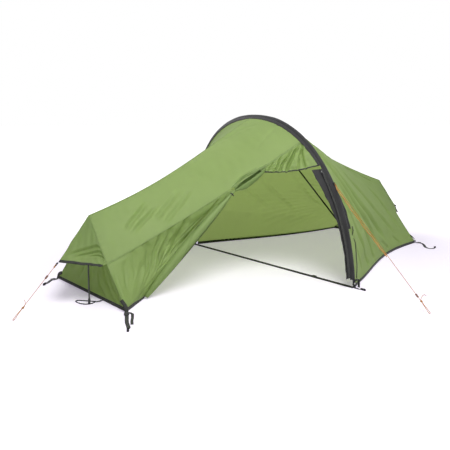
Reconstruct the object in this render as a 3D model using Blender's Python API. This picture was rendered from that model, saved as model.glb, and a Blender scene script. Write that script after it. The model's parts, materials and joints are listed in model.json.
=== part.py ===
# Single-hoop trekking tent, pitched, with its door tied back. Metres, +Z up.
# The origin lies on the ground under the middle of the ground strap that joins the hoop's two feet.
# +X runs along the tent, to the end with no door beside it. -Y is the door side. Left is -X, right is +X.

import math

import bmesh
import bpy
import numpy as np

# Hoop pole. It stands across the tent in one plane, which leans a little along and across the tent.
HOOP_HALF_SPAN = 0.773
HOOP_HEIGHT = 0.994
HOOP_EXPONENT = 2.20
HOOP_LEAN = -0.020
HOOP_SKEW = 0.080
POLE_RADIUS = 0.00475
POLE_BORE = 0.0041
SPIGOT_RADIUS = 0.0033
SPIGOT_LENGTH = 0.030
SECTION_COUNT = 7
TIP_LENGTH = 0.022

# Ends of the fly on the ground, and the two peaks over the end poles.
LEFT_X = -1.250
RIGHT_X = 1.385
NEAR_Y = -0.300
FAR_Y = 0.526
PEAK_LEFT = (-1.282, 0.014, 0.469)
PEAK_RIGHT = (1.418, 0.090, 0.469)
EDGE_HOLLOW = 0.014

# Cloth, its sag between hoop and ends, and the tape along its ground edge.
CLOTH = 0.0012
SEAM_GAP = 0.0020
ROOF_SAG_LEFT = 0.042
ROOF_SAG_RIGHT = 0.026
WALL_SAG = 0.046
SHOULDER_SAG = 0.095
FAN = 0.90
HEM_CURVE_NEAR = 0.078
HEM_CURVE_FAR = 0.055
HEM_HEIGHT = 0.012
HEM_THICKNESS = 0.0024
HEM_Z = 0.0138
HEM_ON_HOOP = 0.99
CLEARANCE = 0.0003

# The roof seam on the door side, as a share of the hoop's near half and of the end's near edge.
SEAM_ON_HOOP = 0.335
SEAM_ON_END = 0.525
DOOR_TOP_ON_HOOP = 0.475
FOLD_END = 0.235
TIE_POINT = 0.375

# Sleeve over the hoop pole, and the black flaps along its near leg.
SLEEVE_HALF_WIDTH = 0.021
SLEEVE_CROWN = 0.0100
SLEEVE_FLOOR = -0.0080
SLEEVE_WALL = 0.0012
SLEEVE_FOOT_Z = 0.050
ZIP_FLAP_WIDTH = 0.034
ZIP_TOP_Z = 0.690
ZIP_FOOT_Z = 0.060
OUTER_FLAP_WIDTH = 0.026
OUTER_FLAP_Z = (0.340, 0.575)

# Zip beside the sleeve's near leg: lengths across the hoop's plane, and outward of the leg's arc.
FLAP_EDGE = -(SLEEVE_HALF_WIDTH + 0.0012)
FLAP_THICKNESS = 0.0014
TAPE_EDGE = FLAP_EDGE - 0.0025
TAPE_THICKNESS = 0.0010
ZIP_TEETH = TAPE_EDGE - 0.0170
ZIP_PLANE = -0.0015
TOOTH = 0.0014
SLIDER_REACH = 0.0062
SLIDER_HALF_HEIGHT = 0.0030
SLIDER_LENGTH = 0.011
SLIDER_WALL = 0.0012
SLIDER_BELOW_TOP = 0.020
PULL_LIFT = 0.0050
PULL_THICKNESS = 0.0014

# Door cloth, rolled from the ground up to the tie on the roof seam.
ROLL_FOOT = (-1.053, -0.172, 0.013)
ROLL_BOW = -0.006
ROLL_LIP = 0.20
BEHIND_ROLL_GAP = 0.0035
ROLL_RADIUS = 0.024
BEHIND_ROLL_FOOT = (-0.50, 0.87, 0.0)
BEHIND_ROLL_TIE = (0.0, 1.0, 0.0)
TIE_AT = 0.965
TIE_GAP = 0.0016
TIE_WIDTH = 0.006
TIE_THICKNESS = 0.0014
TOGGLE_RADIUS = 0.0036
TOGGLE_LENGTH = 0.022

# Near wall beside the roll: its size, and its deep folds as two ends, a half width and a depth.
SIDE_SIZE = (0.80, 0.52)
SIDE_FOLDS = [((0.93, 0.08), (0.955, 0.58), 0.022, 0.016),
              ((0.62, 0.10), (0.80, 0.74), 0.030, 0.007)]
SIDE_HOLLOW = 0.030

# Hoods over the end vents, and the poles that carry the two peaks.
HOOD_REACH = 0.188
HOOD_DROP = 0.213
HOOD_TIP_NEAR = 0.027
HOOD_FAR_SHARE = 0.525
END_POLE_RADIUS = 0.00425
END_POLE_TOP_Z = 0.4275
POLE_FOOT_OUT = 0.054
POLE_FOOT_NEAR = 0.071

# Webbing and the plastic ladder buckles on it.
WEB = 0.0016
STRAP_WIDTH = 0.020
GROUND_STRAP_WIDTH = 0.025
LOOP_HEIGHT = 0.009
CORNER_WEB_TOP = 0.055
CORNER_WEB_OUT = 0.0040
CORNER_BEND = ((0.0040, 0.0150), (0.0075, 0.0028))
CORNER_FLAT = 0.006
TAIL_WIDTH = 0.015
TAIL_ROUTE = [(-1.2520, -0.3130, 0.0012), (-1.2440, -0.3240, 0.0005), (-1.2425, -0.3400, 0.0),
              (-1.2620, -0.3800, 0.0), (-1.2950, -0.4300, 0.0), (-1.3230, -0.4780, 0.0)]
PULL_ROUTE = [(0.003, 0.044), (0.009, 0.0515), (0.019, 0.0515), (0.0265, 0.044), (0.029, 0.020),
              (0.030, 0.0)]
PULL_WIDTH = 0.012
SLOT_END = 0.006
SLOT_RIM = 0.0045
SLOT_CORNER = 0.0035
BUCKLE_RIM = 0.0035
BUCKLE_LENGTH = 0.030
BUCKLE_THICKNESS = 0.0040
BUCKLE_LIFT = 0.0008
FOOT_STRAP_WIDTH = 0.016
FOOT_STRAP_TOP = 0.052
FOOT_STRAP_GAP = 0.0008
FOOT_STRAP_REACH = 0.082
PEG_SLOT = 0.034
GROUND_STRAP = (-0.7755, 0.785)
GROUND_BUCKLE_Y = -0.446
CORNER_ROUTES = {
    "near_left": [(-1.2527, -0.3047), (-1.288, -0.368), (-1.330, -0.442), (-1.356, -0.500),
                  (-1.392, -0.556)],
    "far_left": [(-1.2585, 0.522), (-1.300, 0.519), (-1.325, 0.494), (-1.390, 0.432)],
    "near_right": [(1.3900, -0.3080), (1.4040, -0.3400), (1.3880, -0.3680), (1.340, -0.412),
                   (1.292, -0.458), (1.285, -0.492), (1.312, -0.509), (1.356, -0.498)],
    "far_right": [(1.3885, 0.5272), (1.440, 0.556), (1.485, 0.584), (1.530, 0.614)],
}
BUCKLE_SHARE = {"near_left": 0.30, "far_left": 0.36, "near_right": 0.27, "far_right": 0.25}
END_FOOT_ROUTE = [(-0.0265, -0.060), (0.012, -0.066), (0.042, -0.071), (0.064, -0.066), (0.077, -0.046),
                  (0.084, -0.014), (0.088, 0.026)]
BRACE_RUN = (0.338, 1.412)
BRACE_WIDTH = 0.014

# Guylines: route points from the tab to the ground, and where the runners sit on them.
CORD_RADIUS = 0.00125
GUY_LEFT_END = (-1.745, -0.052, 0.0)
GUY_NEAR_END = (-0.070, -1.312, 0.0)
PEG_LOOP = 0.075
GUY_BEND = 0.0055
RUNNER_LEFT_AT = 0.072
RUNNER_NEAR_AT = 0.800
RUNNER_SIZE = (0.020, 0.011, 0.0075)
RUNNER_PLAY = 0.0004
GUY_TAB_Z = 0.603
GUY_TAB_SIZE = (0.022, 0.014, 0.0024)
HOOD_TAB_OUT = 0.0166

# A point inside the tent that every cloth solid is thickened towards.
TENT_MIDDLE = (0.0, 0.1, 0.25)

GREEN = (0.29, 0.40, 0.13)
BLACK = (0.030, 0.030, 0.034)
GREY = (0.11, 0.11, 0.11)
ORANGE = (0.62, 0.22, 0.08)
METAL = (0.55, 0.56, 0.58)


def clear_scene():
    for item in list(bpy.data.objects):
        bpy.data.objects.remove(item, do_unlink=True)


def material(name, colour, roughness, metallic=0.0):
    made = bpy.data.materials.new(name)
    made.use_nodes = True
    shader = made.node_tree.nodes["Principled BSDF"]
    shader.inputs["Base Color"].default_value = (*colour, 1.0)
    shader.inputs["Roughness"].default_value = roughness
    shader.inputs["Metallic"].default_value = metallic
    made.diffuse_color = (*colour, 1.0)
    return made


def add_mesh(name, points, faces, colour, roughness=0.7, metallic=0.0, angle=35.0):
    """Makes one closed object with its faces turned outwards."""
    mesh = bpy.data.meshes.new(name)
    mesh.from_pydata([tuple(p) for p in points], [], faces)
    work = bmesh.new()
    work.from_mesh(mesh)
    bmesh.ops.recalc_face_normals(work, faces=work.faces)
    work.to_mesh(mesh)
    work.free()
    mesh.shade_smooth()
    mesh.set_sharp_from_angle(angle=math.radians(angle))
    mesh.materials.append(material(name, colour, roughness, metallic))
    made = bpy.data.objects.new(name, mesh)
    bpy.context.collection.objects.link(made)
    return made


def unit(v):
    v = np.asarray(v, float)
    return v / np.linalg.norm(v)


def lerp(a, b, t):
    return np.asarray(a, float) * (1 - t) + np.asarray(b, float) * t


def smooth(t):
    t = min(max(t, 0.0), 1.0)
    return t * t * (3 - 2 * t)


# Points on the hoop.

HOOP_ACROSS = unit((1.0, 0.0, -HOOP_LEAN))
HOOP_UP = unit((HOOP_LEAN, 0.0, 1.0))


def hoop_at_angle(angle):
    """Pole centre. 0 is the near foot, pi the far foot."""
    c, s = math.cos(angle), math.sin(angle)
    z = HOOP_HEIGHT * abs(s) ** (2 / HOOP_EXPONENT)
    y = -HOOP_HALF_SPAN * math.copysign(abs(c) ** (2 / HOOP_EXPONENT), c) + HOOP_SKEW * z
    return np.array((HOOP_LEAN * z, y, z))


def hoop_table():
    """Even steps in angle, crowded at both feet, with the length run so far."""
    angles = [math.pi * smooth(i / 720) for i in range(721)]
    points = np.array([hoop_at_angle(a) for a in angles])
    run = np.concatenate(([0.0], np.cumsum(np.linalg.norm(np.diff(points, axis=0), axis=1))))
    return points, run


HOOP_POINTS, HOOP_RUN = hoop_table()
HOOP_LENGTH = HOOP_RUN[-1]
APEX_RUN = HOOP_RUN[int(np.argmax(HOOP_POINTS[:, 2]))]


def on_hoop(run):
    return np.array([np.interp(run, HOOP_RUN, HOOP_POINTS[:, k]) for k in range(3)])


def hoop_out(run):
    """Unit vector in the hoop's plane, away from the inside of the tent."""
    return unit(np.cross(HOOP_ACROSS, on_hoop(run + 0.004) - on_hoop(run - 0.004)))


def hoop_at_run(run, outward=0.0, across=0.0):
    """A point at a length along the pole from the near foot, moved outward and across."""
    return on_hoop(run) + hoop_out(run) * outward + HOOP_ACROSS * across


def run_at_height(z, near=True):
    if near:
        part = HOOP_RUN <= APEX_RUN
        return float(np.interp(z, HOOP_POINTS[part, 2], HOOP_RUN[part]))
    part = HOOP_RUN >= APEX_RUN
    return float(np.interp(-z, -HOOP_POINTS[part, 2], HOOP_RUN[part]))


def hoop_share(share, near, side):
    """The fly's edge beside the sleeve. share 0 is the ridge, 1 the ground, side is -1 left or 1 right."""
    run = APEX_RUN * (1 - share) if near else APEX_RUN + (HOOP_LENGTH - APEX_RUN) * share
    run = min(max(run, 0.013), HOOP_LENGTH - 0.013)
    across = side * (SLEEVE_HALF_WIDTH + 2 * CLEARANCE + 0.0012)
    return hoop_at_run(run, -0.0035, across)


def peak(side):
    return np.array(PEAK_LEFT if side < 0 else PEAK_RIGHT)


def corner(side, near):
    return np.array((LEFT_X if side < 0 else RIGHT_X, NEAR_Y if near else FAR_Y, 0.0))


def end_share(share, near, side):
    """The end's sloping edge from its peak, share 0, to its ground corner, share 1."""
    p = lerp(peak(side), corner(side, near), share)
    inward = 1.0 if near else -1.0
    p[1] += inward * EDGE_HOLLOW * 4 * share * (1 - share)
    return p


def sag_shape(u):
    """Share of the sag at u, 0 at the hoop and 1 at the end."""
    return math.sin(math.pi * u ** 1.35)


def fly_point(u, hoop_v, end_v, near, side, hem_curve):
    """A point of the fly between hoop and end, with the cloth's sag."""
    v = lerp(hoop_v, end_v, u)
    p = lerp(hoop_share(hoop_v, near, side), end_share(end_v, near, side), u)
    inward = 1.0 if near else -1.0
    turn = v * math.pi / 2
    roof_sag = ROOF_SAG_LEFT if side < 0 else ROOF_SAG_RIGHT
    depth = lerp(lerp(roof_sag, WALL_SAG, min(1.0, 1.6 * v)), hem_curve, smooth((v - 0.62) / 0.38))
    dip = depth * sag_shape(u)
    if not near:
        dip += SHOULDER_SAG * math.sin(math.pi * min(1.0, hoop_v * 1.25)) * math.sin(math.pi * u ** 0.6)
    return p + np.array((0.0, math.sin(turn) * inward, -math.cos(turn))) * dip


def grid_normals(grid):
    du = np.gradient(grid, axis=0)
    dv = np.gradient(grid, axis=1)
    n = np.cross(du, dv)
    return n / np.linalg.norm(n, axis=2)[:, :, None]


def cloth_solid(name, grid, inside, thickness=CLOTH, colour=GREEN, roughness=0.62):
    """Gives a grid a thickness, towards the point inside. Both sides split on the same diagonals."""
    grid = np.asarray(grid, float)
    n = grid_normals(grid)
    rows, cols = grid.shape[:2]
    middle = grid[rows // 2, cols // 2]
    if n[rows // 2, cols // 2] @ (np.asarray(inside) - middle) < 0:
        n = -n
    points = np.concatenate((grid.reshape(-1, 3), (grid + n * thickness).reshape(-1, 3)))
    under = rows * cols

    def at(i, j):
        return i * cols + j

    faces = []
    for i in range(rows - 1):
        for j in range(cols - 1):
            a, b, c, d = at(i, j), at(i + 1, j), at(i + 1, j + 1), at(i, j + 1)
            halves = ((a, b, c), (a, c, d))
            if np.linalg.norm(points[a] - points[c]) > np.linalg.norm(points[b] - points[d]):
                halves = ((a, b, d), (b, c, d))
            for half in halves:
                faces.append(half)
                faces.append(tuple(k + under for k in reversed(half)))
    rim = [at(i, 0) for i in range(rows)] + [at(rows - 1, j) for j in range(1, cols)]
    rim += [at(i, cols - 1) for i in range(rows - 2, -1, -1)] + [at(0, j) for j in range(cols - 2, 0, -1)]
    for a, b in zip(rim, rim[1:] + rim[:1]):
        faces.append((b, a, a + under, b + under))
    return add_mesh(name, points, faces, colour, roughness, angle=60)


def spread(count, start=0.0, end=1.0):
    return [start + (end - start) * i / (count - 1) for i in range(count)]


def fly_panel(name, near, side, hoop_range, end_range, size, hem_curve=0.0, folds=None, fan=0.0):
    """One cloth panel. Its ranges are shares down the hoop and down the end's edge."""
    grid = []
    for u in spread(size[0]):
        row = []
        for v in spread(size[1]):
            hoop_v = lerp(*hoop_range, v)
            end_v = lerp(*end_range, v + fan * math.sin(2 * math.pi * v) / (2 * math.pi))
            p = fly_point(u, hoop_v, end_v, near, side, hem_curve)
            if folds:
                p = p + folds(u, v)
            row.append(p)
        grid.append(row)
    grid = np.array(grid)
    shift = HEM_Z - grid[:, -1, 2]
    if end_range[1] == 1.0:
        weight = np.linspace(0, 1, size[1]) ** 8
        grid[:, :, 2] += weight[None, :] * shift[:, None]
    return cloth_solid(name, trim_ridge(grid, near, hoop_range), TENT_MIDDLE)


def trim_ridge(grid, near, hoop_range):
    """Draws a panel's ridge edge back from the ridge line."""
    if hoop_range[0] == 0.0:
        step = grid[:, 1] - grid[:, 0]
        grid[:, 0] += step / np.linalg.norm(step, axis=1)[:, None] * SEAM_GAP
    return grid


def near_right_folds(u, v):
    """Creases that fan out of the hoop's near foot."""
    angle = math.atan2(1 - v + 0.02, u + 0.02)
    reach = math.hypot(u, 1 - v)
    lift = 0.006 * math.sin(angle * 11.0) * smooth(reach * 4) * smooth((0.75 - reach) * 3)
    return np.array((0.0, -lift * smooth(u * 6) * smooth((1 - u) * 4) * smooth(v * 5), 0.0))


def far_folds(u, v):
    """Slack diagonals between the hoop and the far corner."""
    lift = 0.005 * math.sin(14.0 * (u + 0.55 * v)) * smooth(u * 5) * smooth((1 - u) * 5)
    return np.array((0.0, lift * smooth(v * 4) * smooth((1 - v) * 5), 0.0))


def fly():
    fly_panel("roof_panel_near_left", True, -1, (0.0, SEAM_ON_HOOP), (0.0, SEAM_ON_END), (15, 9))
    fly_panel("fly_panel_near_right", True, 1, (0.0, HEM_ON_HOOP), (0.0, 1.0), (15, 16),
              HEM_CURVE_NEAR, near_right_folds)
    fly_panel("fly_panel_far_left", False, -1, (0.0, HEM_ON_HOOP), (0.0, 1.0), (15, 14),
              HEM_CURVE_FAR, far_folds, FAN)
    fly_panel("fly_panel_far_right", False, 1, (0.0, HEM_ON_HOOP), (0.0, 1.0), (15, 14),
              HEM_CURVE_FAR, far_folds, FAN)
    side_panel()
    door_gusset()


def seam_point(u):
    """The near roof seam. u is 0 at the hoop and 1 at the end."""
    return fly_point(u, SEAM_ON_HOOP, SEAM_ON_END, True, -1, 0.0)


def roll_centre(t):
    """Middle of the door roll, from the ground, 0, to the tie, 1."""
    tie = seam_point(TIE_POINT) + np.array((0.004, -0.006, -0.019))
    p = lerp(ROLL_FOOT, tie, t)
    return p + np.array((0.6, -0.45, -0.5)) * ROLL_BOW * math.sin(math.pi * t)


def roll_radius(t):
    swell = 0.50 + 0.68 * math.sin(math.pi * min(1.0, t * 1.05)) ** 0.75
    return ROLL_RADIUS * swell * (1 - 0.55 * smooth((t - 0.80) / 0.20))


def behind_roll(t):
    """A point of the side panel's free edge, inside the tent behind the roll."""
    along = unit(roll_centre(t + 0.02) - roll_centre(t - 0.02))
    inward = lerp(BEHIND_ROLL_FOOT, BEHIND_ROLL_TIE, t)
    inward = unit(inward - along * (inward @ along))
    return roll_centre(t) + inward * (roll_radius(min(max(t, 0.0), 1.0)) + BEHIND_ROLL_GAP)


def deep_folds(s, v):
    """Depth of the two valleys that run down from the tie, each given by its two ends."""
    depth = 0.0
    for (s0, v0), (s1, v1), width, deep in SIDE_FOLDS:
        ds, dv = s1 - s0, v1 - v0
        t = min(1.0, max(0.0, ((s - s0) * ds + (v - v0) * dv) / (ds * ds + dv * dv)))
        away = math.hypot((s - s0 - t * ds) * SIDE_SIZE[0], (v - v0 - t * dv) * SIDE_SIZE[1])
        depth += deep * math.exp(-(away / width) ** 2)
    return depth


def side_panel():
    """The near wall between the end and the door roll, with pleats that run up to the tie."""
    grid = []
    rows, cols = 23, 15
    top_right = seam_point(TIE_POINT + 0.028) + np.array((0.0, 0.0, -SEAM_GAP))
    hem_right = behind_roll(0.0) * (1, 1, 0) + np.array((0.0, 0.0, HEM_Z))
    hem_left = corner(-1, True) + np.array((0.004, 0.004, HEM_Z))
    for s in spread(rows):
        top = seam_point(lerp(1.0, TIE_POINT + 0.028, s)) + np.array((0.0, 0.0, -SEAM_GAP))
        foot = lerp(hem_left, hem_right, s)
        row = []
        for v in spread(cols):
            left = end_share(lerp(SEAM_ON_END, 1.0, v), True, -1)
            left = left - lerp(seam_point(1.0), corner(-1, True), v)
            right = behind_roll(1 - v) - lerp(top_right, hem_right, v)
            right = right * smooth(v * 7) * (1 - smooth(v * 12 - 11))
            pleat = math.sin(s * 26.0) * 0.003 * smooth(s * 3) * smooth((1 - s) * 5)
            pleat = (pleat - deep_folds(s, v)) * smooth(v * 4) * smooth((1 - v) * 3)
            hollow = SIDE_HOLLOW * math.sin(math.pi * s) * math.sin(math.pi * v)
            p = lerp(top, foot, v) + left * (1 - s) + right * s
            row.append(p + np.array((0.0, hollow - pleat, 0.0)))
        grid.append(row)
    cloth_solid("side_panel_near_left", grid, TENT_MIDDLE)


def gusset_hoop(v):
    return hoop_share(lerp(SEAM_ON_HOOP, DOOR_TOP_ON_HOOP, v), True, -1)


def door_gusset():
    """The slack triangle over the doorway, between seam and hoop."""
    grid = []
    for u in spread(15):
        row = []
        top = seam_point(u * FOLD_END) + np.array((0.0, 0.0, -SEAM_GAP))
        low_end = seam_point(FOLD_END) + np.array((0.004, -0.006, -0.018))
        low = lerp(gusset_hoop(1.0), low_end, u) + np.array((0.0, 0.0, -0.016)) * math.sin(math.pi * u)
        for v in spread(8):
            p = lerp(top, low, v)
            start = gusset_hoop(v) - lerp(gusset_hoop(0.0), gusset_hoop(1.0), v)
            ripple = 0.007 * math.sin(u * 19.0 + 2.0 * v) * smooth(v * 3)
            ripple *= smooth(u * 5) * smooth((1 - u) * 4)
            row.append(p + start * (1 - u) + np.array((0.0, -ripple, 0.0)))
        grid.append(row)
    cloth_solid("door_gusset", grid, TENT_MIDDLE)


# Solids swept along a path.

def path_frames(path, up):
    """Side and up vectors at each point of a path, mitred at its turns."""
    path = np.asarray(path, float)
    ups = np.asarray([up] * len(path) if np.ndim(up) == 1 else up, float)
    frames = []
    for i, p in enumerate(path):
        a = unit(path[i] - path[i - 1]) if i else unit(path[1] - path[0])
        b = unit(path[i + 1] - path[i]) if i + 1 < len(path) else a
        along = unit(a + b)
        side = unit(np.cross(along, ups[i]))
        stretch = 1.0 / max(0.35, along @ a)
        frames.append((side * stretch, unit(np.cross(side, along))))
    return frames


def sweep(name, path, up, profile, colour, roughness=0.7, metallic=0.0, bore=None, angle=35.0):
    """Sweeps a closed profile, or profiles given for each point. With a bore it is open at both ends."""
    frames = path_frames(path, up)
    profiles = profile if np.ndim(profile[0]) == 2 else [profile] * len(path)
    count = len(profiles[0])
    points = []
    for p, (side, top), outline in zip(path, frames, profiles):
        points += [np.asarray(p) + side * a + top * b for a, b in outline]
    faces = tube_faces(0, count, len(path))
    if bore is None:
        faces.append(tuple(range(count - 1, -1, -1)))
        last = (len(path) - 1) * count
        faces.append(tuple(last + k for k in range(count)))
        return add_mesh(name, points, faces, colour, roughness, metallic, angle)
    start = len(points)
    for p, (side, top) in zip(path, frames):
        points += [np.asarray(p) + side * a + top * b for a, b in bore]
    faces += [tuple(reversed(f)) for f in tube_faces(start, len(bore), len(path))]
    last, inner_last = (len(path) - 1) * count, start + (len(path) - 1) * len(bore)
    for k in range(count):
        m = (k + 1) % count
        faces.append((m, k, start + k, start + m))
        faces.append((last + k, last + m, inner_last + m, inner_last + k))
    return add_mesh(name, points, faces, colour, roughness, metallic, angle)


def tube_faces(start, count, rings):
    faces = []
    for i in range(rings - 1):
        for k in range(count):
            a, b = start + i * count + k, start + i * count + (k + 1) % count
            faces.append((a, b, b + count, a + count))
    return faces


def circle(radius, sides, phase=0.5):
    return [(radius * math.cos(2 * math.pi * (k + phase) / sides),
             radius * math.sin(2 * math.pi * (k + phase) / sides)) for k in range(sides)]


def box_profile(width, height, low=0.0):
    return [(-width / 2, low), (width / 2, low), (width / 2, low + height), (-width / 2, low + height)]


def hoop_path(start, end, count, outward=0.0, across=0.0):
    return [hoop_at_run(lerp(start, end, t), outward, across) for t in spread(count)]


def hoop_ups(start, end, count):
    return [hoop_out(lerp(start, end, t)) for t in spread(count)]


def sleeve():
    """The black channel for the pole: flat against the fly inside, crowned over the pole outside."""
    start, end = run_at_height(SLEEVE_FOOT_Z), run_at_height(SLEEVE_FOOT_Z, near=False)
    w, t = SLEEVE_HALF_WIDTH, SLEEVE_WALL
    outer = [(-w, SLEEVE_FLOOR), (w, SLEEVE_FLOOR), (w, SLEEVE_FLOOR + 0.003), (0.009, 0.0078),
             (0.0, SLEEVE_CROWN), (-0.009, 0.0078), (-w, SLEEVE_FLOOR + 0.003)]
    inner = [(-w + 0.006, SLEEVE_FLOOR + t), (w - 0.006, SLEEVE_FLOOR + t), (0.0125, -0.0042),
             (0.0070, 0.0058), (0.0, SLEEVE_CROWN - 0.0028), (-0.0070, 0.0058), (-0.0125, -0.0042)]
    count = 57
    sweep("pole_sleeve", hoop_path(start, end, count), hoop_ups(start, end, count), outer, BLACK, 0.75,
          bore=inner, angle=50)


def hoop_pole():
    """Tube sections with a spigot at one end that seats in the next section's bore, and two tips."""
    first, last = run_at_height(0.026), run_at_height(0.026, near=False)
    length = (last - first) / SECTION_COUNT
    for k in range(SECTION_COUNT):
        a = first + k * length + CLEARANCE / 2
        b = first + (k + 1) * length - CLEARANCE / 2
        pole_section(f"hoop_pole_section_{k + 1}", a, b, k < SECTION_COUNT - 1)
    for name, near, run in (("near", True, first), ("far", False, last)):
        step = -1 if near else 1
        stations = [(0.0, 0.0055), (0.004, 0.0058), (0.010, 0.0058), (0.012, 0.0032), (TIP_LENGTH, 0.0028)]
        path = [hoop_at_run(run + step * (s + CLEARANCE)) for s, _ in stations]
        down = unit(path[-1] - path[-2])
        path[-1] = path[-2] + down * (path[-2][2] - WEB - 2 * CLEARANCE) / -down[2]
        profiles = [circle(r, 8) for _, r in stations]
        sweep(f"hoop_pole_tip_{name}", path, (1.0, 0.0, 0.0), profiles, BLACK, 0.5)


def pole_section(name, a, b, spigot):
    """One open tube. The last rings close down to the spigot, and the bore is blind behind it."""
    sides, steps = 8, 9
    outer = [(a + (b - a) * i / (steps - 1), POLE_RADIUS) for i in range(steps)]
    rings = list(outer)
    if spigot:
        tip = b + SPIGOT_LENGTH
        rings += [(b, SPIGOT_RADIUS), (tip - 0.002, SPIGOT_RADIUS), (tip, SPIGOT_RADIUS - 0.0005)]
    inner_end = b - 0.012
    bore = [(a, POLE_BORE)] + [(a + (inner_end - a) * i / (steps - 1), POLE_BORE) for i in range(1, steps)]
    points, faces = [], []
    for run, radius in rings + bore:
        centre = hoop_at_run(run)
        out = unit(hoop_at_run(run, 0.01) - centre)
        points += [centre + HOOP_ACROSS * x + out * y for x, y in circle(radius, sides)]
    faces += tube_faces(0, sides, len(rings))
    start = len(rings) * sides
    faces += [tuple(reversed(f)) for f in tube_faces(start, sides, len(bore))]
    last = start - sides
    faces.append(tuple(last + k for k in range(sides)))
    blind = start + (len(bore) - 1) * sides
    faces.append(tuple(blind + k for k in range(sides - 1, -1, -1)))
    for k in range(sides):
        m = (k + 1) % sides
        faces.append((m, k, start + k, start + m))
    add_mesh(name, points, faces, METAL, 0.35, 0.9)


def leg_arc():
    """Centre and radius of the circle through the near leg, in the hoop's plane, and its end angles."""
    heights = (ZIP_FOOT_Z, (ZIP_FOOT_Z + ZIP_TOP_Z) / 2, ZIP_TOP_Z)
    on_leg = [hoop_at_run(run_at_height(z), ZIP_PLANE) for z in heights]
    (y1, s1), (y2, s2), (y3, s3) = [(p[1], p @ HOOP_UP) for p in on_leg]
    a = np.array(((2 * (y2 - y1), 2 * (s2 - s1)), (2 * (y3 - y1), 2 * (s3 - s1))))
    b = np.array((y2 ** 2 + s2 ** 2 - y1 ** 2 - s1 ** 2, y3 ** 2 + s3 ** 2 - y1 ** 2 - s1 ** 2))
    yc, sc = np.linalg.solve(a, b)
    radius = math.hypot(y1 - yc, s1 - sc)
    foot = math.atan2(s1 - sc, yc - y1)
    top = math.atan2(s3 - sc, yc - y3)
    return np.array((0.0, yc, 0.0)) + HOOP_UP * sc, radius, foot, top


LEG_CENTRE, LEG_RADIUS, LEG_FOOT_ANGLE, LEG_TOP_ANGLE = leg_arc()
SLIDER_ANGLE = LEG_TOP_ANGLE - SLIDER_BELOW_TOP


def leg_out(angle):
    return np.array((0.0, -math.cos(angle), 0.0)) + HOOP_UP * math.sin(angle)


def leg_point(angle, outward=0.0, across=0.0):
    return LEG_CENTRE + leg_out(angle) * (LEG_RADIUS + outward) + HOOP_ACROSS * across


def leg_down(angle):
    """Along the leg, towards the foot."""
    return np.array((0.0, -math.sin(angle), 0.0)) - HOOP_UP * math.cos(angle)


def leg_strip(name, low, high, count, outline_of, colour, roughness=0.8):
    """A strip along the near leg. Its outlines are in lengths across and outward of the leg's arc."""
    angles = spread(count, low, high)
    points = []
    for t, angle in zip(spread(count), angles):
        points += [leg_point(angle, outward, across) for across, outward in outline_of(t)]
    sides = len(points) // count
    faces = tube_faces(0, sides, count)
    faces += [tuple(range(sides)), tuple(len(points) - sides + k for k in range(sides))]
    return add_mesh(name, points, faces, colour, roughness)


def door_side():
    """Black flap beside the sleeve's near leg, the zip tape over it, and the zip's slider and pull."""
    def flap(t):
        """Widens towards its top."""
        free = FLAP_EDGE - ZIP_FLAP_WIDTH * (0.86 + 0.34 * smooth((t - 0.55) / 0.45))
        low = ZIP_PLANE - 0.0062
        high = low + FLAP_THICKNESS
        return [(free, low), (FLAP_EDGE, low), (FLAP_EDGE, high), (free, high)]

    def tape(_):
        """Flat tape with a raised bead of teeth on its outer edge."""
        bead, edge, thin = ZIP_TEETH, TAPE_EDGE, TAPE_THICKNESS / 2
        low = [(bead, -TOOTH), (bead + 0.0030, -TOOTH), (bead + 0.0035, -thin), (edge, -thin)]
        high = [(across, -outward) for across, outward in reversed(low)]
        return [(across, ZIP_PLANE + outward) for across, outward in low + high]

    leg_strip("door_zip_flap", LEG_FOOT_ANGLE, LEG_TOP_ANGLE, 21, flap, BLACK)
    leg_strip("zip_tape", LEG_FOOT_ANGLE + 0.004, LEG_TOP_ANGLE - 0.004, 25, tape, GREY, 0.6)
    zip_slider()
    zip_pull()
    low, high = run_at_height(OUTER_FLAP_Z[0]), run_at_height(OUTER_FLAP_Z[1])
    count = 11
    path = hoop_path(low, high, count, 0.0053, SLEEVE_HALF_WIDTH + 0.004)
    widths = [OUTER_FLAP_WIDTH * (0.35 + 0.65 * smooth((1 - t) * 1.6)) for t in spread(count)]
    profiles = [box_profile(w, SLEEVE_WALL) for w in widths]
    sweep("sleeve_flap", path, hoop_ups(low, high, count), profiles, BLACK, 0.8)


def zip_slider():
    """A slider that straddles the tape's teeth, with a bail for its pull."""
    out, high, wall = leg_out(SLIDER_ANGLE), SLIDER_HALF_HEIGHT, SLIDER_WALL
    bead, reach = ZIP_TEETH - 0.0022, ZIP_TEETH + SLIDER_REACH
    outline = [(bead, -high), (reach, -high), (reach, -high + wall), (bead + wall, -high + wall),
               (bead + wall, high - wall), (reach, high - wall), (reach, high), (bead, high)]
    middle = leg_point(SLIDER_ANGLE, ZIP_PLANE)
    down = leg_down(SLIDER_ANGLE)
    ends = (-SLIDER_LENGTH / 2, SLIDER_LENGTH / 2)
    points = [middle + down * d + out * o + HOOP_ACROSS * a for d in ends for a, o in outline]
    count = len(outline)
    faces = tube_faces(0, count, 2) + [tuple(range(count)), tuple(count + k for k in range(count))]
    add_mesh("zip_slider", points, faces, METAL, 0.4, 0.9)


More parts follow.
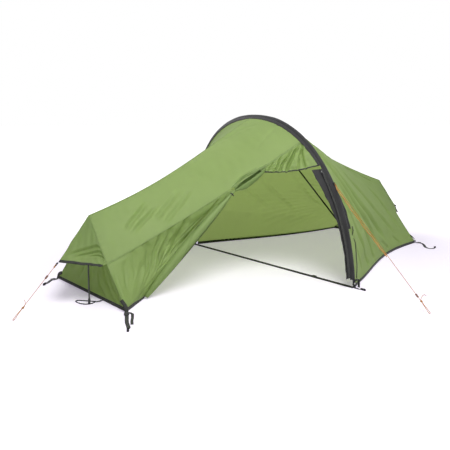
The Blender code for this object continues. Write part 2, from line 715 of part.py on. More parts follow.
def zip_pull():
    """A flat tab with a cord hole. Its own axis lies across the tape, at the slider's bail."""
    out, down = leg_out(SLIDER_ANGLE), leg_down(SLIDER_ANGLE)
    origin = leg_point(SLIDER_ANGLE, ZIP_PLANE + PULL_LIFT, ZIP_TEETH + 0.0022)
    outer = [(x + 0.0128, y) for x, y in rounded(0.014, 0.0035, 0.0033)]
    inner = [(x + 0.020, y) for x, y in rounded(0.0028, 0.0018, 0.0017)]
    points, faces = slot_plate(outer, inner, -PULL_THICKNESS / 2, PULL_THICKNESS / 2)
    turn = np.array((down, HOOP_ACROSS, out)).T
    made = add_mesh("zip_pull", [turn @ np.array(p) for p in points], faces, BLACK, 0.5)
    made.location = origin


def prism(outline, low, high):
    """Points and faces of an extruded outline."""
    count = len(outline)
    points = [(x, y, low) for x, y in outline] + [(x, y, high) for x, y in outline]
    faces = [tuple(range(count - 1, -1, -1)), tuple(range(count, 2 * count))]
    faces += [(k, (k + 1) % count, (k + 1) % count + count, k + count) for k in range(count)]
    return points, faces


def window_plate(xs, ys, holes, thickness):
    """A plate on a grid of lines, with the cells in holes left open."""
    points, faces = [], []
    index = {}

    def at(i, j, layer):
        key = (i, j, layer)
        if key not in index:
            index[key] = len(points)
            points.append((xs[i], ys[j], layer * thickness))
        return index[key]

    solid = {(i, j) for i in range(len(xs) - 1) for j in range(len(ys) - 1) if (i, j) not in holes}
    for i, j in sorted(solid):
        faces.append((at(i, j, 0), at(i, j + 1, 0), at(i + 1, j + 1, 0), at(i + 1, j, 0)))
        faces.append((at(i, j, 1), at(i + 1, j, 1), at(i + 1, j + 1, 1), at(i, j + 1, 1)))
        for (di, dj), (a, b) in (((-1, 0), ((0, 0), (0, 1))), ((1, 0), ((1, 1), (1, 0))),
                                 ((0, -1), ((1, 0), (0, 0))), ((0, 1), ((0, 1), (1, 1)))):
            if (i + di, j + dj) not in solid:
                p, q = (i + a[0], j + a[1]), (i + b[0], j + b[1])
                faces.append((at(*p, 0), at(*p, 1), at(*q, 1), at(*q, 0)))
    return points, faces


def rounded(x, y, radius, steps=3):
    """Outline of a rectangle, half sizes x and y, with round corners."""
    outline = []
    for cx, cy, start in ((x, y, 0), (-x, y, 90), (-x, -y, 180), (x, -y, 270)):
        for k in range(steps + 1):
            a = math.radians(start + 90 * k / steps)
            outline.append((math.copysign(abs(cx) - radius, cx) + radius * math.cos(a),
                            math.copysign(abs(cy) - radius, cy) + radius * math.sin(a)))
    return outline


def slot_plate(outer, inner, low, high):
    """An extruded ring between two outlines with the same number of points."""
    count = len(outer)
    points = [(x, y, z) for z in (low, high) for x, y in outer]
    points += [(x, y, z) for z in (low, high) for x, y in inner]
    faces = []
    for k in range(count):
        m = (k + 1) % count
        o0, o1, i0, i1 = k, k + count, k + 2 * count, k + 3 * count
        p0, p1, j0, j1 = m, m + count, m + 2 * count, m + 3 * count
        faces += [(o0, p0, p1, o1), (i1, j1, j0, i0), (o1, p1, j1, i1), (i0, j0, p0, o0)]
    return points, faces


def looped_strap(name, path, ups, width):
    """Webbing along a path, with a loop for a peg at its end. The loop stands on its edge."""
    path = [np.asarray(p, float) for p in path]
    ups = [unit(up) for up in ups]
    end, along = path[-1], unit(path[-1] - path[-2])
    excess = PEG_SLOT + SLOT_END + WEB / 2
    while np.linalg.norm(path[-1] - path[-2]) < excess + WEB:
        excess -= np.linalg.norm(path[-1] - path[-2])
        path.pop()
        ups.pop()
    path[-1] = path[-1] - unit(path[-1] - path[-2]) * excess
    taper = path[-1] - unit(path[-1] - path[-2]) * WEB * 2
    path.insert(-1, taper)
    ups.insert(-1, ups[-1])
    neck = width - 2 * SLOT_RIM + WEB
    profiles = [box_profile(width, WEB)] * (len(path) - 1) + [box_profile(neck, WEB)]
    made = sweep(name, path, ups, profiles, BLACK, 0.85)
    side = np.array((-along[1], along[0], 0.0))
    middle = end - along * (PEG_SLOT / 2 + SLOT_END)
    inner = rounded(PEG_SLOT / 2, width / 2 - SLOT_RIM, SLOT_CORNER)
    outer = rounded(PEG_SLOT / 2 + WEB, width / 2 - SLOT_RIM + WEB, SLOT_CORNER + WEB)
    points, faces = slot_plate(outer, inner, 0.0, LOOP_HEIGHT)
    join(made, "loop", [middle + along * x + side * y + (0.0, 0.0, z) for x, y, z in points], faces)
    return made


def join(made, word, points, faces):
    """Joins a second shape to an object, which stays one body."""
    extra = add_mesh(made.name + "_" + word, points, faces, GREY)
    extra.hide_render = True
    extra.display_type = "WIRE"
    modifier = made.modifiers.new(word, "BOOLEAN")
    modifier.operation = "UNION"
    modifier.solver = "EXACT"
    modifier.object = extra


def strip(path, up, width):
    """Points and faces of a flat strip along a path, to join to another shape."""
    frames = path_frames(path, up)
    outline = box_profile(width, WEB)
    points = []
    for p, (side, top) in zip(path, frames):
        points += [np.asarray(p) + side * a + top * b for a, b in outline]
    faces = tube_faces(0, 4, len(path)) + [(3, 2, 1, 0)]
    faces.append(tuple(len(points) - 4 + k for k in range(4)))
    return points, faces


def corner_strap(word, route):
    """Webbing sewn up the fly's corner, then laid out along the ground."""
    near, side = word.startswith("near"), -1 if word.endswith("left") else 1
    base = corner(side, near)
    up = np.array((0.0, 0.0, 1.0))
    high = end_share(1 - CORNER_WEB_TOP / peak(side)[2], near, side)
    first, second = (np.array((x, y, 0.0)) for x, y in route[:2])
    out = unit(second - first)
    path = [high + out * CORNER_WEB_OUT] + [base + out * x + up * z for x, z in CORNER_BEND]
    path += [first + out * CORNER_FLAT] + [np.array((x, y, 0.0)) for x, y in route[1:]]
    ups = [out, out, out + up] + [up] * (len(path) - 3)
    made = looped_strap("corner_strap_" + word, path, ups, STRAP_WIDTH)
    if word == "near_left":
        join(made, "tail", *strip(TAIL_ROUTE, up, TAIL_WIDTH))


def ladder_buckle(name, origin, along, web_width):
    """A ladder buckle. Its own axis is its first bar, across the strap, and its lip points along."""
    w, n = web_width / 2 + BUCKLE_RIM, BUCKLE_LENGTH
    xs = [-0.0020, 0.0022, 0.0068, 0.0112, 0.0158, 0.0205, n - 0.0020]
    ys = [-w, -w + 0.004, w - 0.004, w]
    points, faces = window_plate(xs, ys, {(1, 1), (3, 1)}, BUCKLE_THICKNESS)
    turn = frame_of(along, (0.0, 0.0, 1.0))
    made = add_mesh(name, [turn @ np.array((x, y, z - BUCKLE_THICKNESS / 2)) for x, y, z in points], faces,
                    BLACK, 0.45)
    made.location = origin
    bevel = made.modifiers.new("round", "BEVEL")
    bevel.width = 0.0006
    bevel.segments = 1
    return made


def frame_of(x_axis, z_axis):
    """Columns of a right-handed frame with x along x_axis and z near z_axis."""
    x = unit(x_axis)
    y = unit(np.cross(z_axis, x))
    return np.array((x, y, np.cross(x, y))).T


def turned(name, outline, origin, axis, colour, roughness, sides=16):
    """A turned piece. Its outline runs from the axis at one end to the axis at the other."""
    z = unit(axis)
    x = unit(np.cross((0.0, 1.0, 0.0) if abs(z[1]) < 0.9 else (1.0, 0.0, 0.0), z))
    y = np.cross(z, x)
    inner = outline[1:-1]
    points = [z * outline[0][1]]
    for r, h in inner:
        points += [x * px + y * py + z * h for px, py in circle(r, sides)]
    points.append(z * outline[-1][1])
    faces = [(0, 1 + k, 1 + (k + 1) % sides) for k in range(sides)]
    faces += tube_faces(1, sides, len(inner))
    last = 1 + (len(inner) - 1) * sides
    faces += [(len(points) - 1, last + (k + 1) % sides, last + k) for k in range(sides)]
    made = add_mesh(name, points, faces, colour, roughness)
    made.location = origin
    return made


def cord(name, route, radius, colour):
    """A cord along points of its own, as a bevelled curve with filled ends."""
    data = bpy.data.curves.new(name, "CURVE")
    data.dimensions = "3D"
    data.bevel_depth = radius
    data.bevel_resolution = 2
    data.use_fill_caps = True
    spline = data.splines.new("POLY")
    spline.points.add(len(route) - 1)
    for point, place_at in zip(spline.points, route):
        point.co = (*place_at, 1.0)
    data.materials.append(material(name, colour, 0.7))
    made = bpy.data.objects.new(name, data)
    bpy.context.collection.objects.link(made)
    return made


# Ends: walls, hoods, their edge tapes, and the poles under the peaks.

def end_wall(name, side):
    grid = []
    rows, cols = 11, 13
    for r in spread(rows):
        share = lerp(0.05, 1.0 - HEM_Z / PEAK_LEFT[2], r)
        a = end_share(share, True, side) + np.array((-side * 0.004, 0.0032, 0.0))
        b = end_share(share, False, side) + np.array((-side * 0.004, -0.0032, 0.0))
        row = []
        for c in spread(cols):
            p = lerp(a, b, c)
            crease = 0.004 * math.sin(c * 17.0) * math.sin(math.pi * c) * smooth(r * 2) * smooth((1 - r) * 4)
            p[0] -= side * (0.014 * math.sin(math.pi * c) * math.sin(math.pi * r) + crease)
            row.append(p)
        grid.append(row)
    cloth_solid(name, grid, TENT_MIDDLE)


def hood_edges(side):
    """Points of the hood's seamed edge over the peak, and of its free edge through the tip."""
    out = np.array((side * 0.0035, 0.0, 0.0))
    back = [end_share(SEAM_ON_END, True, side) + out, peak(side) + out + np.array((0.0, 0.0, 0.001)),
            end_share(HOOD_FAR_SHARE, False, side) + out]
    tip = peak(side) + np.array((side * HOOD_REACH, -HOOD_TIP_NEAR, -HOOD_DROP))
    front = [back[0] + out * 4, tip, back[2] + out * 4]
    return back, front


def along_edge(edge, u):
    return lerp(edge[0], edge[1], u * 2) if u < 0.5 else lerp(edge[1], edge[2], u * 2 - 1)


def hood_point(side, u, v):
    back, front = hood_edges(side)
    p = lerp(along_edge(back, u), along_edge(front, u), v)
    slack = 0.010 * abs(math.sin(2 * math.pi * u)) * math.sin(math.pi * (0.25 + 0.75 * v)) * v
    ripple = 0.003 * math.sin(u * 38.0) * v * abs(math.sin(2 * math.pi * u))
    return p - np.array((0.0, 0.0, slack + ripple))


def hood(side, word):
    under = peak(side) + np.array((side * 0.05, 0.0, -0.25))
    count = 17
    cloth_solid("hood_" + word, [[hood_point(side, u, v) for v in spread(7)] for u in spread(count)], under)
    path, ups = [], []
    for u in spread(count):
        edge = hood_point(side, u, 1.0)
        away = unit(edge - hood_point(side, u, 0.9))
        along = unit(hood_point(side, min(1.0, u + 0.02), 1.0) - hood_point(side, max(0.0, u - 0.02), 1.0))
        ups.append(unit(np.cross(along, away)) * (1.0 if np.cross(along, away)[2] > 0 else -1.0))
        path.append(edge + away * 0.0090)
    sweep("hood_binding_" + word, path, ups, box_profile(0.010, 0.0022, -0.0018), GREY, 0.8)


def end_pole(side, word):
    """A short straight pole with a rubber foot. It pivots in the cap under the peak."""
    top = peak(side) + np.array((side * 0.010, 0.0, 0.0))
    top[2] = END_POLE_TOP_Z
    foot = peak(side) + np.array((side * POLE_FOOT_OUT, -POLE_FOOT_NEAR, 0.0))
    foot[2] = WEB + 0.0015
    r = END_POLE_RADIUS
    length = np.linalg.norm(top - foot)
    outline = [(0.0, r), (r * 0.7, r * 0.7), (r, 0.0), (r, -length + 0.028), (0.0065, -length + 0.026),
               (0.0068, -length + 0.004), (0.0050, -length), (0.0, -length)]
    turned("end_pole_" + word, outline, top, top - foot, BLACK, 0.4, 10)
    cap = [(0.0, 0.0080), (0.0080, 0.0080), (0.0110, 0.0060), (0.0110, 0.0010), (0.0095, 0.0010),
           (0.0058, 0.0032), (0.0, 0.0043)]
    turned("end_pole_cap_" + word, cap, top + np.array((0.0, 0.0, 0.0006)), (0.0, 0.0, 1.0), BLACK, 0.6, 14)


def hem_line(near, side, count):
    """Ground points of the fly's lower edge, from the hoop to the end's corner."""
    line = []
    for u in spread(count):
        p = fly_point(u, HEM_ON_HOOP, 1.0, near, side, HEM_CURVE_NEAR if near else HEM_CURVE_FAR)
        line.append(np.array((p[0], p[1], 0.0)))
    return line


def base_bindings():
    tape = box_profile(HEM_THICKNESS, HEM_HEIGHT)
    roll = behind_roll(0.0) * (1, 1, 0)
    left = hem_line(False, -1, 12) + [corner(-1, True), lerp(corner(-1, True), roll, 0.5), roll]
    right = hem_line(False, 1, 12) + hem_line(True, 1, 12)[::-1]
    sweep("base_binding_left", left, (0.0, 0.0, 1.0), tape, GREY, 0.8)
    sweep("base_binding_right", right, (0.0, 0.0, 1.0), tape, GREY, 0.8)


# Door cloth and its tie.

def door_roll():
    """The rolled door cloth, with the edge of its last turn standing a little proud."""
    steps, sides = 19, 14
    path, profiles = [], []
    for t in spread(steps):
        r = roll_radius(t)
        lip = ROLL_LIP + 0.25 * math.sin(5 * t)
        outline = []
        for k in range(sides):
            a = 2 * math.pi * k / sides
            turn = ((a - lip) % (2 * math.pi)) / (2 * math.pi)
            grow = 1 - 0.13 * turn - 0.05 * math.sin(3 * a + 7 * t) ** 2
            outline.append((r * grow * math.cos(a), r * grow * math.sin(a)))
        path.append(roll_centre(t))
        profiles.append(outline)
    sweep("door_roll", path, (0.0, -0.6, 0.8), profiles, GREEN, 0.62, angle=60)


def fold_centre(t):
    """Middle of the gathered cloth under the seam, from the tie, 0, to the slack triangle, 1."""
    u = float(lerp(TIE_POINT - 0.003, FOLD_END + 0.010, t))
    drop = 0.0190 - 0.006 * t + 0.008 * math.sin(math.pi * t)
    return seam_point(u) + np.array((0.004, -0.006, -drop))


def door_fold():
    steps, sides = 10, 10
    path, profiles = [], []
    for t in spread(steps):
        swell = 0.30 + 0.70 * smooth(t / 0.30)
        tall, wide = lerp(0.0195, 0.0105, t) * swell, lerp(0.014, 0.0065, t) * swell
        outline = []
        for k in range(sides):
            a = 2 * math.pi * k / sides
            grow = 1 - 0.14 * math.sin(1.5 * a + 2 * t) ** 2
            outline.append((wide * grow * math.cos(a), tall * grow * math.sin(a)))
        path.append(fold_centre(t))
        profiles.append(outline)
    sweep("door_fold", path, (0.0, 0.0, 1.0), profiles, GREEN, 0.62, angle=60)


def band(name, centre, axis, inner, thickness, width, colour, sides=20):
    """A closed band round an axis."""
    turn = frame_of(axis, (0.0, 0.0, 1.0))
    points = []
    for radius, along in ((inner, -1), (inner + thickness, -1), (inner + thickness, 1), (inner, 1)):
        points += [centre + turn @ np.array((along * width / 2, x, y)) for x, y in circle(radius, sides)]
    faces = tube_faces(0, sides, 4)
    faces += [(3 * sides + k, 3 * sides + (k + 1) % sides, (k + 1) % sides, k) for k in range(sides)]
    return add_mesh(name, points, faces, colour, 0.8)


def door_tie():
    """The loop that holds the roll up, and its toggle."""
    centre = roll_centre(TIE_AT)
    along = unit(roll_centre(TIE_AT + 0.02) - roll_centre(TIE_AT - 0.02))
    inner = roll_radius(TIE_AT) + TIE_GAP
    band("door_tie_loop", centre, along, inner, TIE_THICKNESS, TIE_WIDTH, BLACK)
    away = np.array((0.0, -1.0, -0.25))
    away = unit(away - along * (away @ along))
    across = np.cross(away, along)
    r, half = TOGGLE_RADIUS, TOGGLE_LENGTH / 2
    outline = [(0.0, half), (r * 0.75, half), (r, half - 0.0012), (r, 0.0025), (r * 0.72, 0.0012),
               (r * 0.72, -0.0012), (r, -0.0025), (r, 0.0012 - half), (r * 0.75, -half), (0.0, -half)]
    place = centre + away * (inner + TIE_THICKNESS + CLEARANCE + r)
    turned("door_toggle", outline, place, across, BLACK, 0.4, 12)


# Straps, buckles and guys.

def laid_buckle(name, x, y, along, web_width=STRAP_WIDTH):
    """A buckle that lies on a strap on the ground."""
    ladder_buckle(name, (x, y, WEB + BUCKLE_LIFT + BUCKLE_THICKNESS / 2), (*along, 0.0), web_width)


def buckle_on(name, route, share=0.5):
    """A buckle over the first leg of a laid strap."""
    (x0, y0), (x1, y1) = route[:2]
    laid_buckle(name, x0 + (x1 - x0) * share, y0 + (y1 - y0) * share, unit((x1 - x0, y1 - y0)))


def ground_straps():
    low, high = GROUND_STRAP
    sweep("ground_strap", [(0.0, lerp(low, high, t), 0.0) for t in spread(9)], (0.0, 0.0, 1.0),
          box_profile(GROUND_STRAP_WIDTH, WEB), BLACK, 0.85)
    laid_buckle("ground_strap_buckle", 0.0, GROUND_BUCKLE_Y, (0.0, -1.0), GROUND_STRAP_WIDTH)
    for word, route in CORNER_ROUTES.items():
        corner_strap(word, route)
        buckle_on("corner_buckle_" + word, route, BUCKLE_SHARE[word])
    for side, word in ((-1, "left"), (1, "right")):
        middle = peak(side)
        route = [(middle[0] + side * x, middle[1] + y) for x, y in END_FOOT_ROUTE]
        path = [(x, y, 0.0) for x, y in route]
        looped_strap("end_foot_strap_" + word, path, [(0.0, 0.0, 1.0)] * len(path), FOOT_STRAP_WIDTH)
    for near, word in ((True, "near"), (False, "far")):
        hoop_foot_strap(near, word)


def hoop_foot_strap(near, word):
    """Webbing down from the sleeve's foot, turned out along the ground to a loop for a peg."""
    side = -1.0 if near else 1.0
    run = run_at_height(SLEEVE_FOOT_Z, near)
    top = hoop_at_run(run, SLEEVE_CROWN + FOOT_STRAP_GAP)
    bend = side * (abs(top[1]) + 0.003)
    path = [np.array((0.0, top[1], FOOT_STRAP_TOP)), np.array((0.0, top[1], 0.012)),
            np.array((0.0, bend, 0.003)), np.array((0.0, bend + side * 0.008, 0.0)),
            np.array((0.0, bend + side * FOOT_STRAP_REACH, 0.0))]
    ups = [(0.0, side, 0.0)] * 2 + [(0.0, side, 1.0)] + [(0.0, 0.0, 1.0)] * 2
    made = looped_strap("hoop_foot_strap_" + word, path, ups, FOOT_STRAP_WIDTH)
    across = top[1] + side * (PULL_WIDTH / 2 + WEB / 4)
    pull = [np.array((-side * x, across, z)) for x, z in PULL_ROUTE]
    middle = np.array((-side * (PULL_ROUTE[0][0] + PULL_ROUTE[-1][0]) / 2, across, 0.0))
    join(made, "pull", *strip(pull, [unit(p - middle) for p in pull], PULL_WIDTH))


def tab(name, start, along, up):
    """Folded webbing with a cord hole at its outer end."""
    length, width, thickness = GUY_TAB_SIZE
    turn = frame_of(along, up)
    outer = [(x + length / 2, y) for x, y in rounded(length / 2, width / 2, 0.003)]
    inner = [(x + length - 0.007, y) for x, y in rounded(0.0025, 0.0030, 0.0022)]
    points, faces = slot_plate(outer, inner, -thickness / 2, thickness / 2)
    add_mesh(name, [start + turn @ np.array(p) for p in points], faces, GREY, 0.8)
    return start + unit(along) * length


def guy_route(top, end, steps):
    """From the tab's edge down to the knot, round the peg loop, and back up beside itself."""
    down = unit(end - top)
    top = top + down * 2 * CLEARANCE
    side = unit(np.cross(down, (0.0, 0.0, 1.0)))
    knot = end - down * PEG_LOOP
    route = [lerp(top, knot, t) for t in spread(steps)]
    bend = 1 - GUY_BEND / PEG_LOOP
    spread_out = [(0.30, 0.0022), (0.60, 0.0044), (0.85, GUY_BEND)]
    for a in (30, 60, 90):
        turn = math.radians(a)
        spread_out.append((bend + (1 - bend) * math.sin(turn), GUY_BEND * math.cos(turn)))
    route += [knot + down * PEG_LOOP * t + side * w for t, w in spread_out]
    route += [knot + down * PEG_LOOP * t - side * w for t, w in spread_out[-2::-1]]
    route.append(knot - side * 0.0034 + down * 0.004)
    route.append(knot - side * 0.0060 - down * 0.010)
    return route, down


def guys():
    tops = {}
    for side, word in ((-1, "left"), (1, "right")):
        tip = hood_point(side, 0.5, 1.0)
        peg = peak(side) * (1, 1, 0) + (np.array(GUY_LEFT_END) - peak(-1) * (1, 1, 0)) * (-side, 1, 1)
        away = unit(peg - tip)
        tops[word] = tab("guy_tab_" + word, tip + away * HOOD_TAB_OUT, away, (0.0, 0.0, 1.0))
    for near, word in ((True, "near"), (False, "far")):
        run = run_at_height(GUY_TAB_Z, near)
        start = hoop_at_run(run, SLEEVE_CROWN + 0.0016)
        away = unit(np.array(GUY_NEAR_END) * (1, 1 if near else -1, 1) - start)
        tops[word] = tab("guy_tab_" + word, start, away, hoop_out(run))
    for word, end, steps, at in (("left", GUY_LEFT_END, 12, RUNNER_LEFT_AT),
                                 ("near", GUY_NEAR_END, 24, RUNNER_NEAR_AT)):
        route, down = guy_route(tops[word], np.array(end) + (0.0, 0.0, CORD_RADIUS), steps)
        cord("guy_line_" + word, route, CORD_RADIUS, ORANGE)
        runner("guy_runner_" + word, route[0] + down * at, down)


def runner(name, middle, along):
    """A tensioner block with a hole for the cord. Its own axis is the cord's."""
    side = unit(np.cross(along, (0.0, 0.0, 1.0)))
    up = np.cross(side, along)
    outer = rounded(RUNNER_SIZE[1] / 2, RUNNER_SIZE[2] / 2, 0.0022, steps=1)
    inner = circle(CORD_RADIUS + RUNNER_PLAY, 8)
    points, faces = slot_plate(outer, inner, -RUNNER_SIZE[0] / 2, RUNNER_SIZE[0] / 2)
    made = add_mesh(name, [side * x + up * y + along * z for x, y, z in points], faces, BLACK, 0.5)
    made.location = middle


def inner_strap():
    """A brace of webbing inside the hoop, from near its top to the near leg."""
    top = hoop_at_run(BRACE_RUN[1], SLEEVE_FLOOR - CLEARANCE - WEB)
    foot = hoop_at_run(BRACE_RUN[0], SLEEVE_FLOOR - CLEARANCE - WEB)
    along = unit(foot - top)
    up = unit(np.cross(HOOP_ACROSS, along))
    sweep("inner_tension_strap", [top, foot], up, box_profile(BRACE_WIDTH, WEB, -WEB / 2), BLACK, 0.8)


def build():
    clear_scene()
    fly()
    sleeve()
    hoop_pole()
    door_side()
    for side, word in ((-1, "left"), (1, "right")):
        end_wall("end_wall_" + word, side)
        hood(side, word)
        end_pole(side, word)
    base_bindings()
    door_roll()
    door_fold()
    door_tie()
    ground_straps()
    guys()
    inner_strap()


build()
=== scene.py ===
import json
import math

import bpy
import numpy as np
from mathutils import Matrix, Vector

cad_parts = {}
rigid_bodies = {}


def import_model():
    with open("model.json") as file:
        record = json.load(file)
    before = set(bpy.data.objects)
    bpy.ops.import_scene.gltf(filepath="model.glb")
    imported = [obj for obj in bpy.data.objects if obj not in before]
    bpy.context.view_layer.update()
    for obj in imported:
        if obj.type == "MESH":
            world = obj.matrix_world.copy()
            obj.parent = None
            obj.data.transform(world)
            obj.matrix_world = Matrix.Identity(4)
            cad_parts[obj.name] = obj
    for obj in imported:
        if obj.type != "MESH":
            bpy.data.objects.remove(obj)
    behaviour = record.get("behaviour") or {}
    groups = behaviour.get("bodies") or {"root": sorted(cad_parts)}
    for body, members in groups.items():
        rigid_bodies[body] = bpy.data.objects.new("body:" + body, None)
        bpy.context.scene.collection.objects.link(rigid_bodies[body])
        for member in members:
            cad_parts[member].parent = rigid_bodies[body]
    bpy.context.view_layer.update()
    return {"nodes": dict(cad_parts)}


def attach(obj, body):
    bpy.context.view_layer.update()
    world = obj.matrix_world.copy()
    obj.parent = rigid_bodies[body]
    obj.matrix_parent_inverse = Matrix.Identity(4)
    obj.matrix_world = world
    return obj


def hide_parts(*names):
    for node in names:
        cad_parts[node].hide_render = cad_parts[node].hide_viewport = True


for leftover in list(bpy.data.objects):
    bpy.data.objects.remove(leftover, do_unlink=True)
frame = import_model()
nodes = frame["nodes"]
tentBody = "pitched_tent"
print("frame loaded,", len(nodes), "nodes")

# sizes in metres and shares of them, as the frame has them
hoop = {"halfSpan": 0.773, "height": 0.994, "exponent": 2.20, "lean": -0.020, "skew": 0.080,
        "footEnd": 0.013}
fly = {"leftX": -1.250, "rightX": 1.385, "nearY": -0.300, "farY": 0.526,
       "peakLeft": (-1.282, 0.014, 0.469), "peakRight": (1.418, 0.090, 0.469), "edgeHollow": 0.014,
       "roofSagLeft": 0.042, "roofSagRight": 0.026, "wallSag": 0.046, "shoulderSag": 0.095, "fan": 0.90,
       "hemCurveNear": 0.078, "hemCurveFar": 0.055, "hemZ": 0.0100, "seamOnHoop": 0.335, "seamOnEnd": 0.525,
       "doorTopOnHoop": 0.475, "foldEnd": 0.235, "tiePoint": 0.375, "thickness": 0.0008,
       "roofEnds": 1.6, "hemFrom": 0.62, "sagShift": 1.35, "shoulder": (1.25, 0.6)}
sleeve = {"halfWidth": 0.021, "crown": 0.0100, "floor": -0.0080, "footZ": 0.050, "flyEdge": (0.0195, -0.0048)}
roll = {"foot": (-1.053, -0.172, 0.013), "tie": (0.004, -0.006, -0.019), "bow": -0.006, "radius": 0.024,
        "bowWay": (0.6, -0.45, -0.5), "belly": (0.50, 0.68, 1.05, 0.75), "taper": (0.55, 0.80),
        "tieAt": 0.965, "behindFoot": (-0.50, 0.87, 0.0), "behindTie": (0.0, 1.0, 0.0), "behindGap": 0.0018}
hood = {"reach": 0.188, "aside": -0.027, "drop": 0.213, "farShare": 0.525}
tentMiddle = np.array((0.0, 0.1, 0.25))
upward = np.array((0.0, 0.0, 1.0))


# vectors and curves
def unit(v):
    v = np.asarray(v, float)
    return v / np.maximum(np.linalg.norm(v, axis=-1, keepdims=True), 1e-12)


def lerp(a, b, t):
    return np.asarray(a, float) * (1 - np.asarray(t, float)) + np.asarray(b, float) * t


def between(a, b, t):  # the same for points, with one t for each
    t = np.asarray(t, float)[..., None]
    return np.asarray(a, float) * (1 - t) + np.asarray(b, float) * t


def smooth(t):
    t = np.clip(t, 0.0, 1.0)
    return t * t * (3 - 2 * t)


def xyz(*parts):
    return np.stack(np.broadcast_arrays(*(np.asarray(part, float) for part in parts)), axis=-1)


def runAlong(points):  # the way along a line up to each of its points
    return np.concatenate(([0.0], np.cumsum(np.linalg.norm(np.diff(points, axis=0), axis=1))))


def readOff(at, run, points):  # the points at given ways along a line
    return np.stack([np.interp(at, run, points[:, k]) for k in range(3)], axis=-1)


def fullTurn(count):
    return np.linspace(0, math.tau, count, endpoint=False)


def pointsAlong(points, count):  # evenly spaced points of a smooth curve through points
    points = np.asarray(points, float)
    knots = runAlong(points)
    slopes = np.gradient(points, knots, axis=0)
    at = np.linspace(0, knots[-1], count)
    i = np.clip(np.searchsorted(knots, at, side="right") - 1, 0, len(points) - 2)
    h = (knots[i + 1] - knots[i])[:, None]
    t = (at - knots[i])[:, None] / h
    a, b, ma, mb = points[i], points[i + 1], slopes[i] * h, slopes[i + 1] * h
    return ((2 * t**3 - 3 * t**2 + 1) * a + (t**3 - 2 * t**2 + t) * ma
            + (3 * t**2 - 2 * t**3) * b + (t**3 - t**2) * mb)


def within(t, rise, fall):  # 0 at both ends and 1 between them
    return smooth(t * rise) * smooth((1 - t) * fall)


def swell(x, y, scale, seed, count=7):  # gentle random hills and hollows, about -1 to 1
    rng = np.random.default_rng(seed)
    total = np.zeros(np.broadcast(x, y).shape)
    for _ in range(count):
        angle, phase, stretch = rng.uniform(0, math.tau), rng.uniform(0, math.tau), rng.uniform(0.6, 1.7)
        total += np.sin((x * math.cos(angle) + y * math.sin(angle)) * math.tau * stretch / scale + phase)
    return total / math.sqrt(count)


creaseShape = {"stations": 24, "fade": 3.5, "lip": 0.75, "fall": 0.8}


def crease(x, y, line, width, depth, open0=False, open1=False):
    # a valley along a line with a soft lip on both sides, fading at its closed ends
    line = pointsAlong(line, creaseShape["stations"])
    best = np.full(x.shape, 9.0)
    at = np.zeros(x.shape)
    for k in range(len(line) - 1):
        (ax, ay), (bx, by) = line[k], line[k + 1]
        dx, dy = bx - ax, by - ay
        t = np.clip(((x - ax) * dx + (y - ay) * dy) / (dx * dx + dy * dy), 0, 1)
        away = np.hypot(x - ax - t * dx, y - ay - t * dy)
        nearer = away < best
        best = np.where(nearer, away, best)
        at = np.where(nearer, (k + t) / (len(line) - 1), at)
    fade = 1.0 if open0 else smooth(at * creaseShape["fade"])
    fade = fade * (1.0 if open1 else smooth((1 - at) * creaseShape["fade"]))
    r = (best / width) ** 2
    return -depth * fade * (1 - creaseShape["lip"] * r) * np.exp(-creaseShape["fall"] * r)


# the hoop
hoopAcross = unit((1.0, 0.0, -hoop["lean"]))
hoopUp = unit((hoop["lean"], 0.0, 1.0))


def hoopTable():
    angles = math.pi * smooth(np.linspace(0, 1, 1441))
    c, s = np.cos(angles), np.sin(angles)
    z = hoop["height"] * np.abs(s) ** (2 / hoop["exponent"])
    y = -hoop["halfSpan"] * np.sign(c) * np.abs(c) ** (2 / hoop["exponent"]) + hoop["skew"] * z
    points = xyz(hoop["lean"] * z, y, z)
    return points, runAlong(points)


hoopPoints, hoopRun = hoopTable()
hoopLength = hoopRun[-1]
apexRun = hoopRun[int(np.argmax(hoopPoints[:, 2]))]


def onHoop(run):
    return readOff(run, hoopRun, hoopPoints)


def hoopOut(run):
    run = np.asarray(run, float)
    return unit(np.cross(hoopAcross, onHoop(run + 0.004) - onHoop(run - 0.004)))


def hoopAt(run, outward=0.0, across=0.0):
    return (onHoop(run) + hoopOut(run) * np.asarray(outward, float)[..., None]
            + hoopAcross * np.asarray(across, float)[..., None])


def runAtHeight(z, near=True):
    part = hoopRun <= apexRun if near else hoopRun >= apexRun
    order = 1 if near else -1
    return float(np.interp(z, hoopPoints[part, 2][::order], hoopRun[part][::order]))


def hoopEdge(share, near, side):  # the fly's edge, sewn into the sleeve's flange, 0 at the ridge
    run = apexRun * (1 - share) if near else apexRun + (hoopLength - apexRun) * share
    run = np.clip(run, hoop["footEnd"], hoopLength - hoop["footEnd"])
    return hoopAt(run, sleeve["flyEdge"][1], side * sleeve["flyEdge"][0])


# the fly's surface between hoop and end, with its sag
def peak(side):
    return np.array(fly["peakLeft"] if side < 0 else fly["peakRight"])


def corner(side, near):
    return np.array((fly["leftX"] if side < 0 else fly["rightX"], fly["nearY"] if near else fly["farY"], 0.0))


def endEdge(share, near, side):
    share = np.asarray(share, float)
    p = between(peak(side), corner(side, near), share)
    inward = 1.0 if near else -1.0
    return p + xyz(0.0, inward * fly["edgeHollow"] * 4 * share * (1 - share), 0.0)


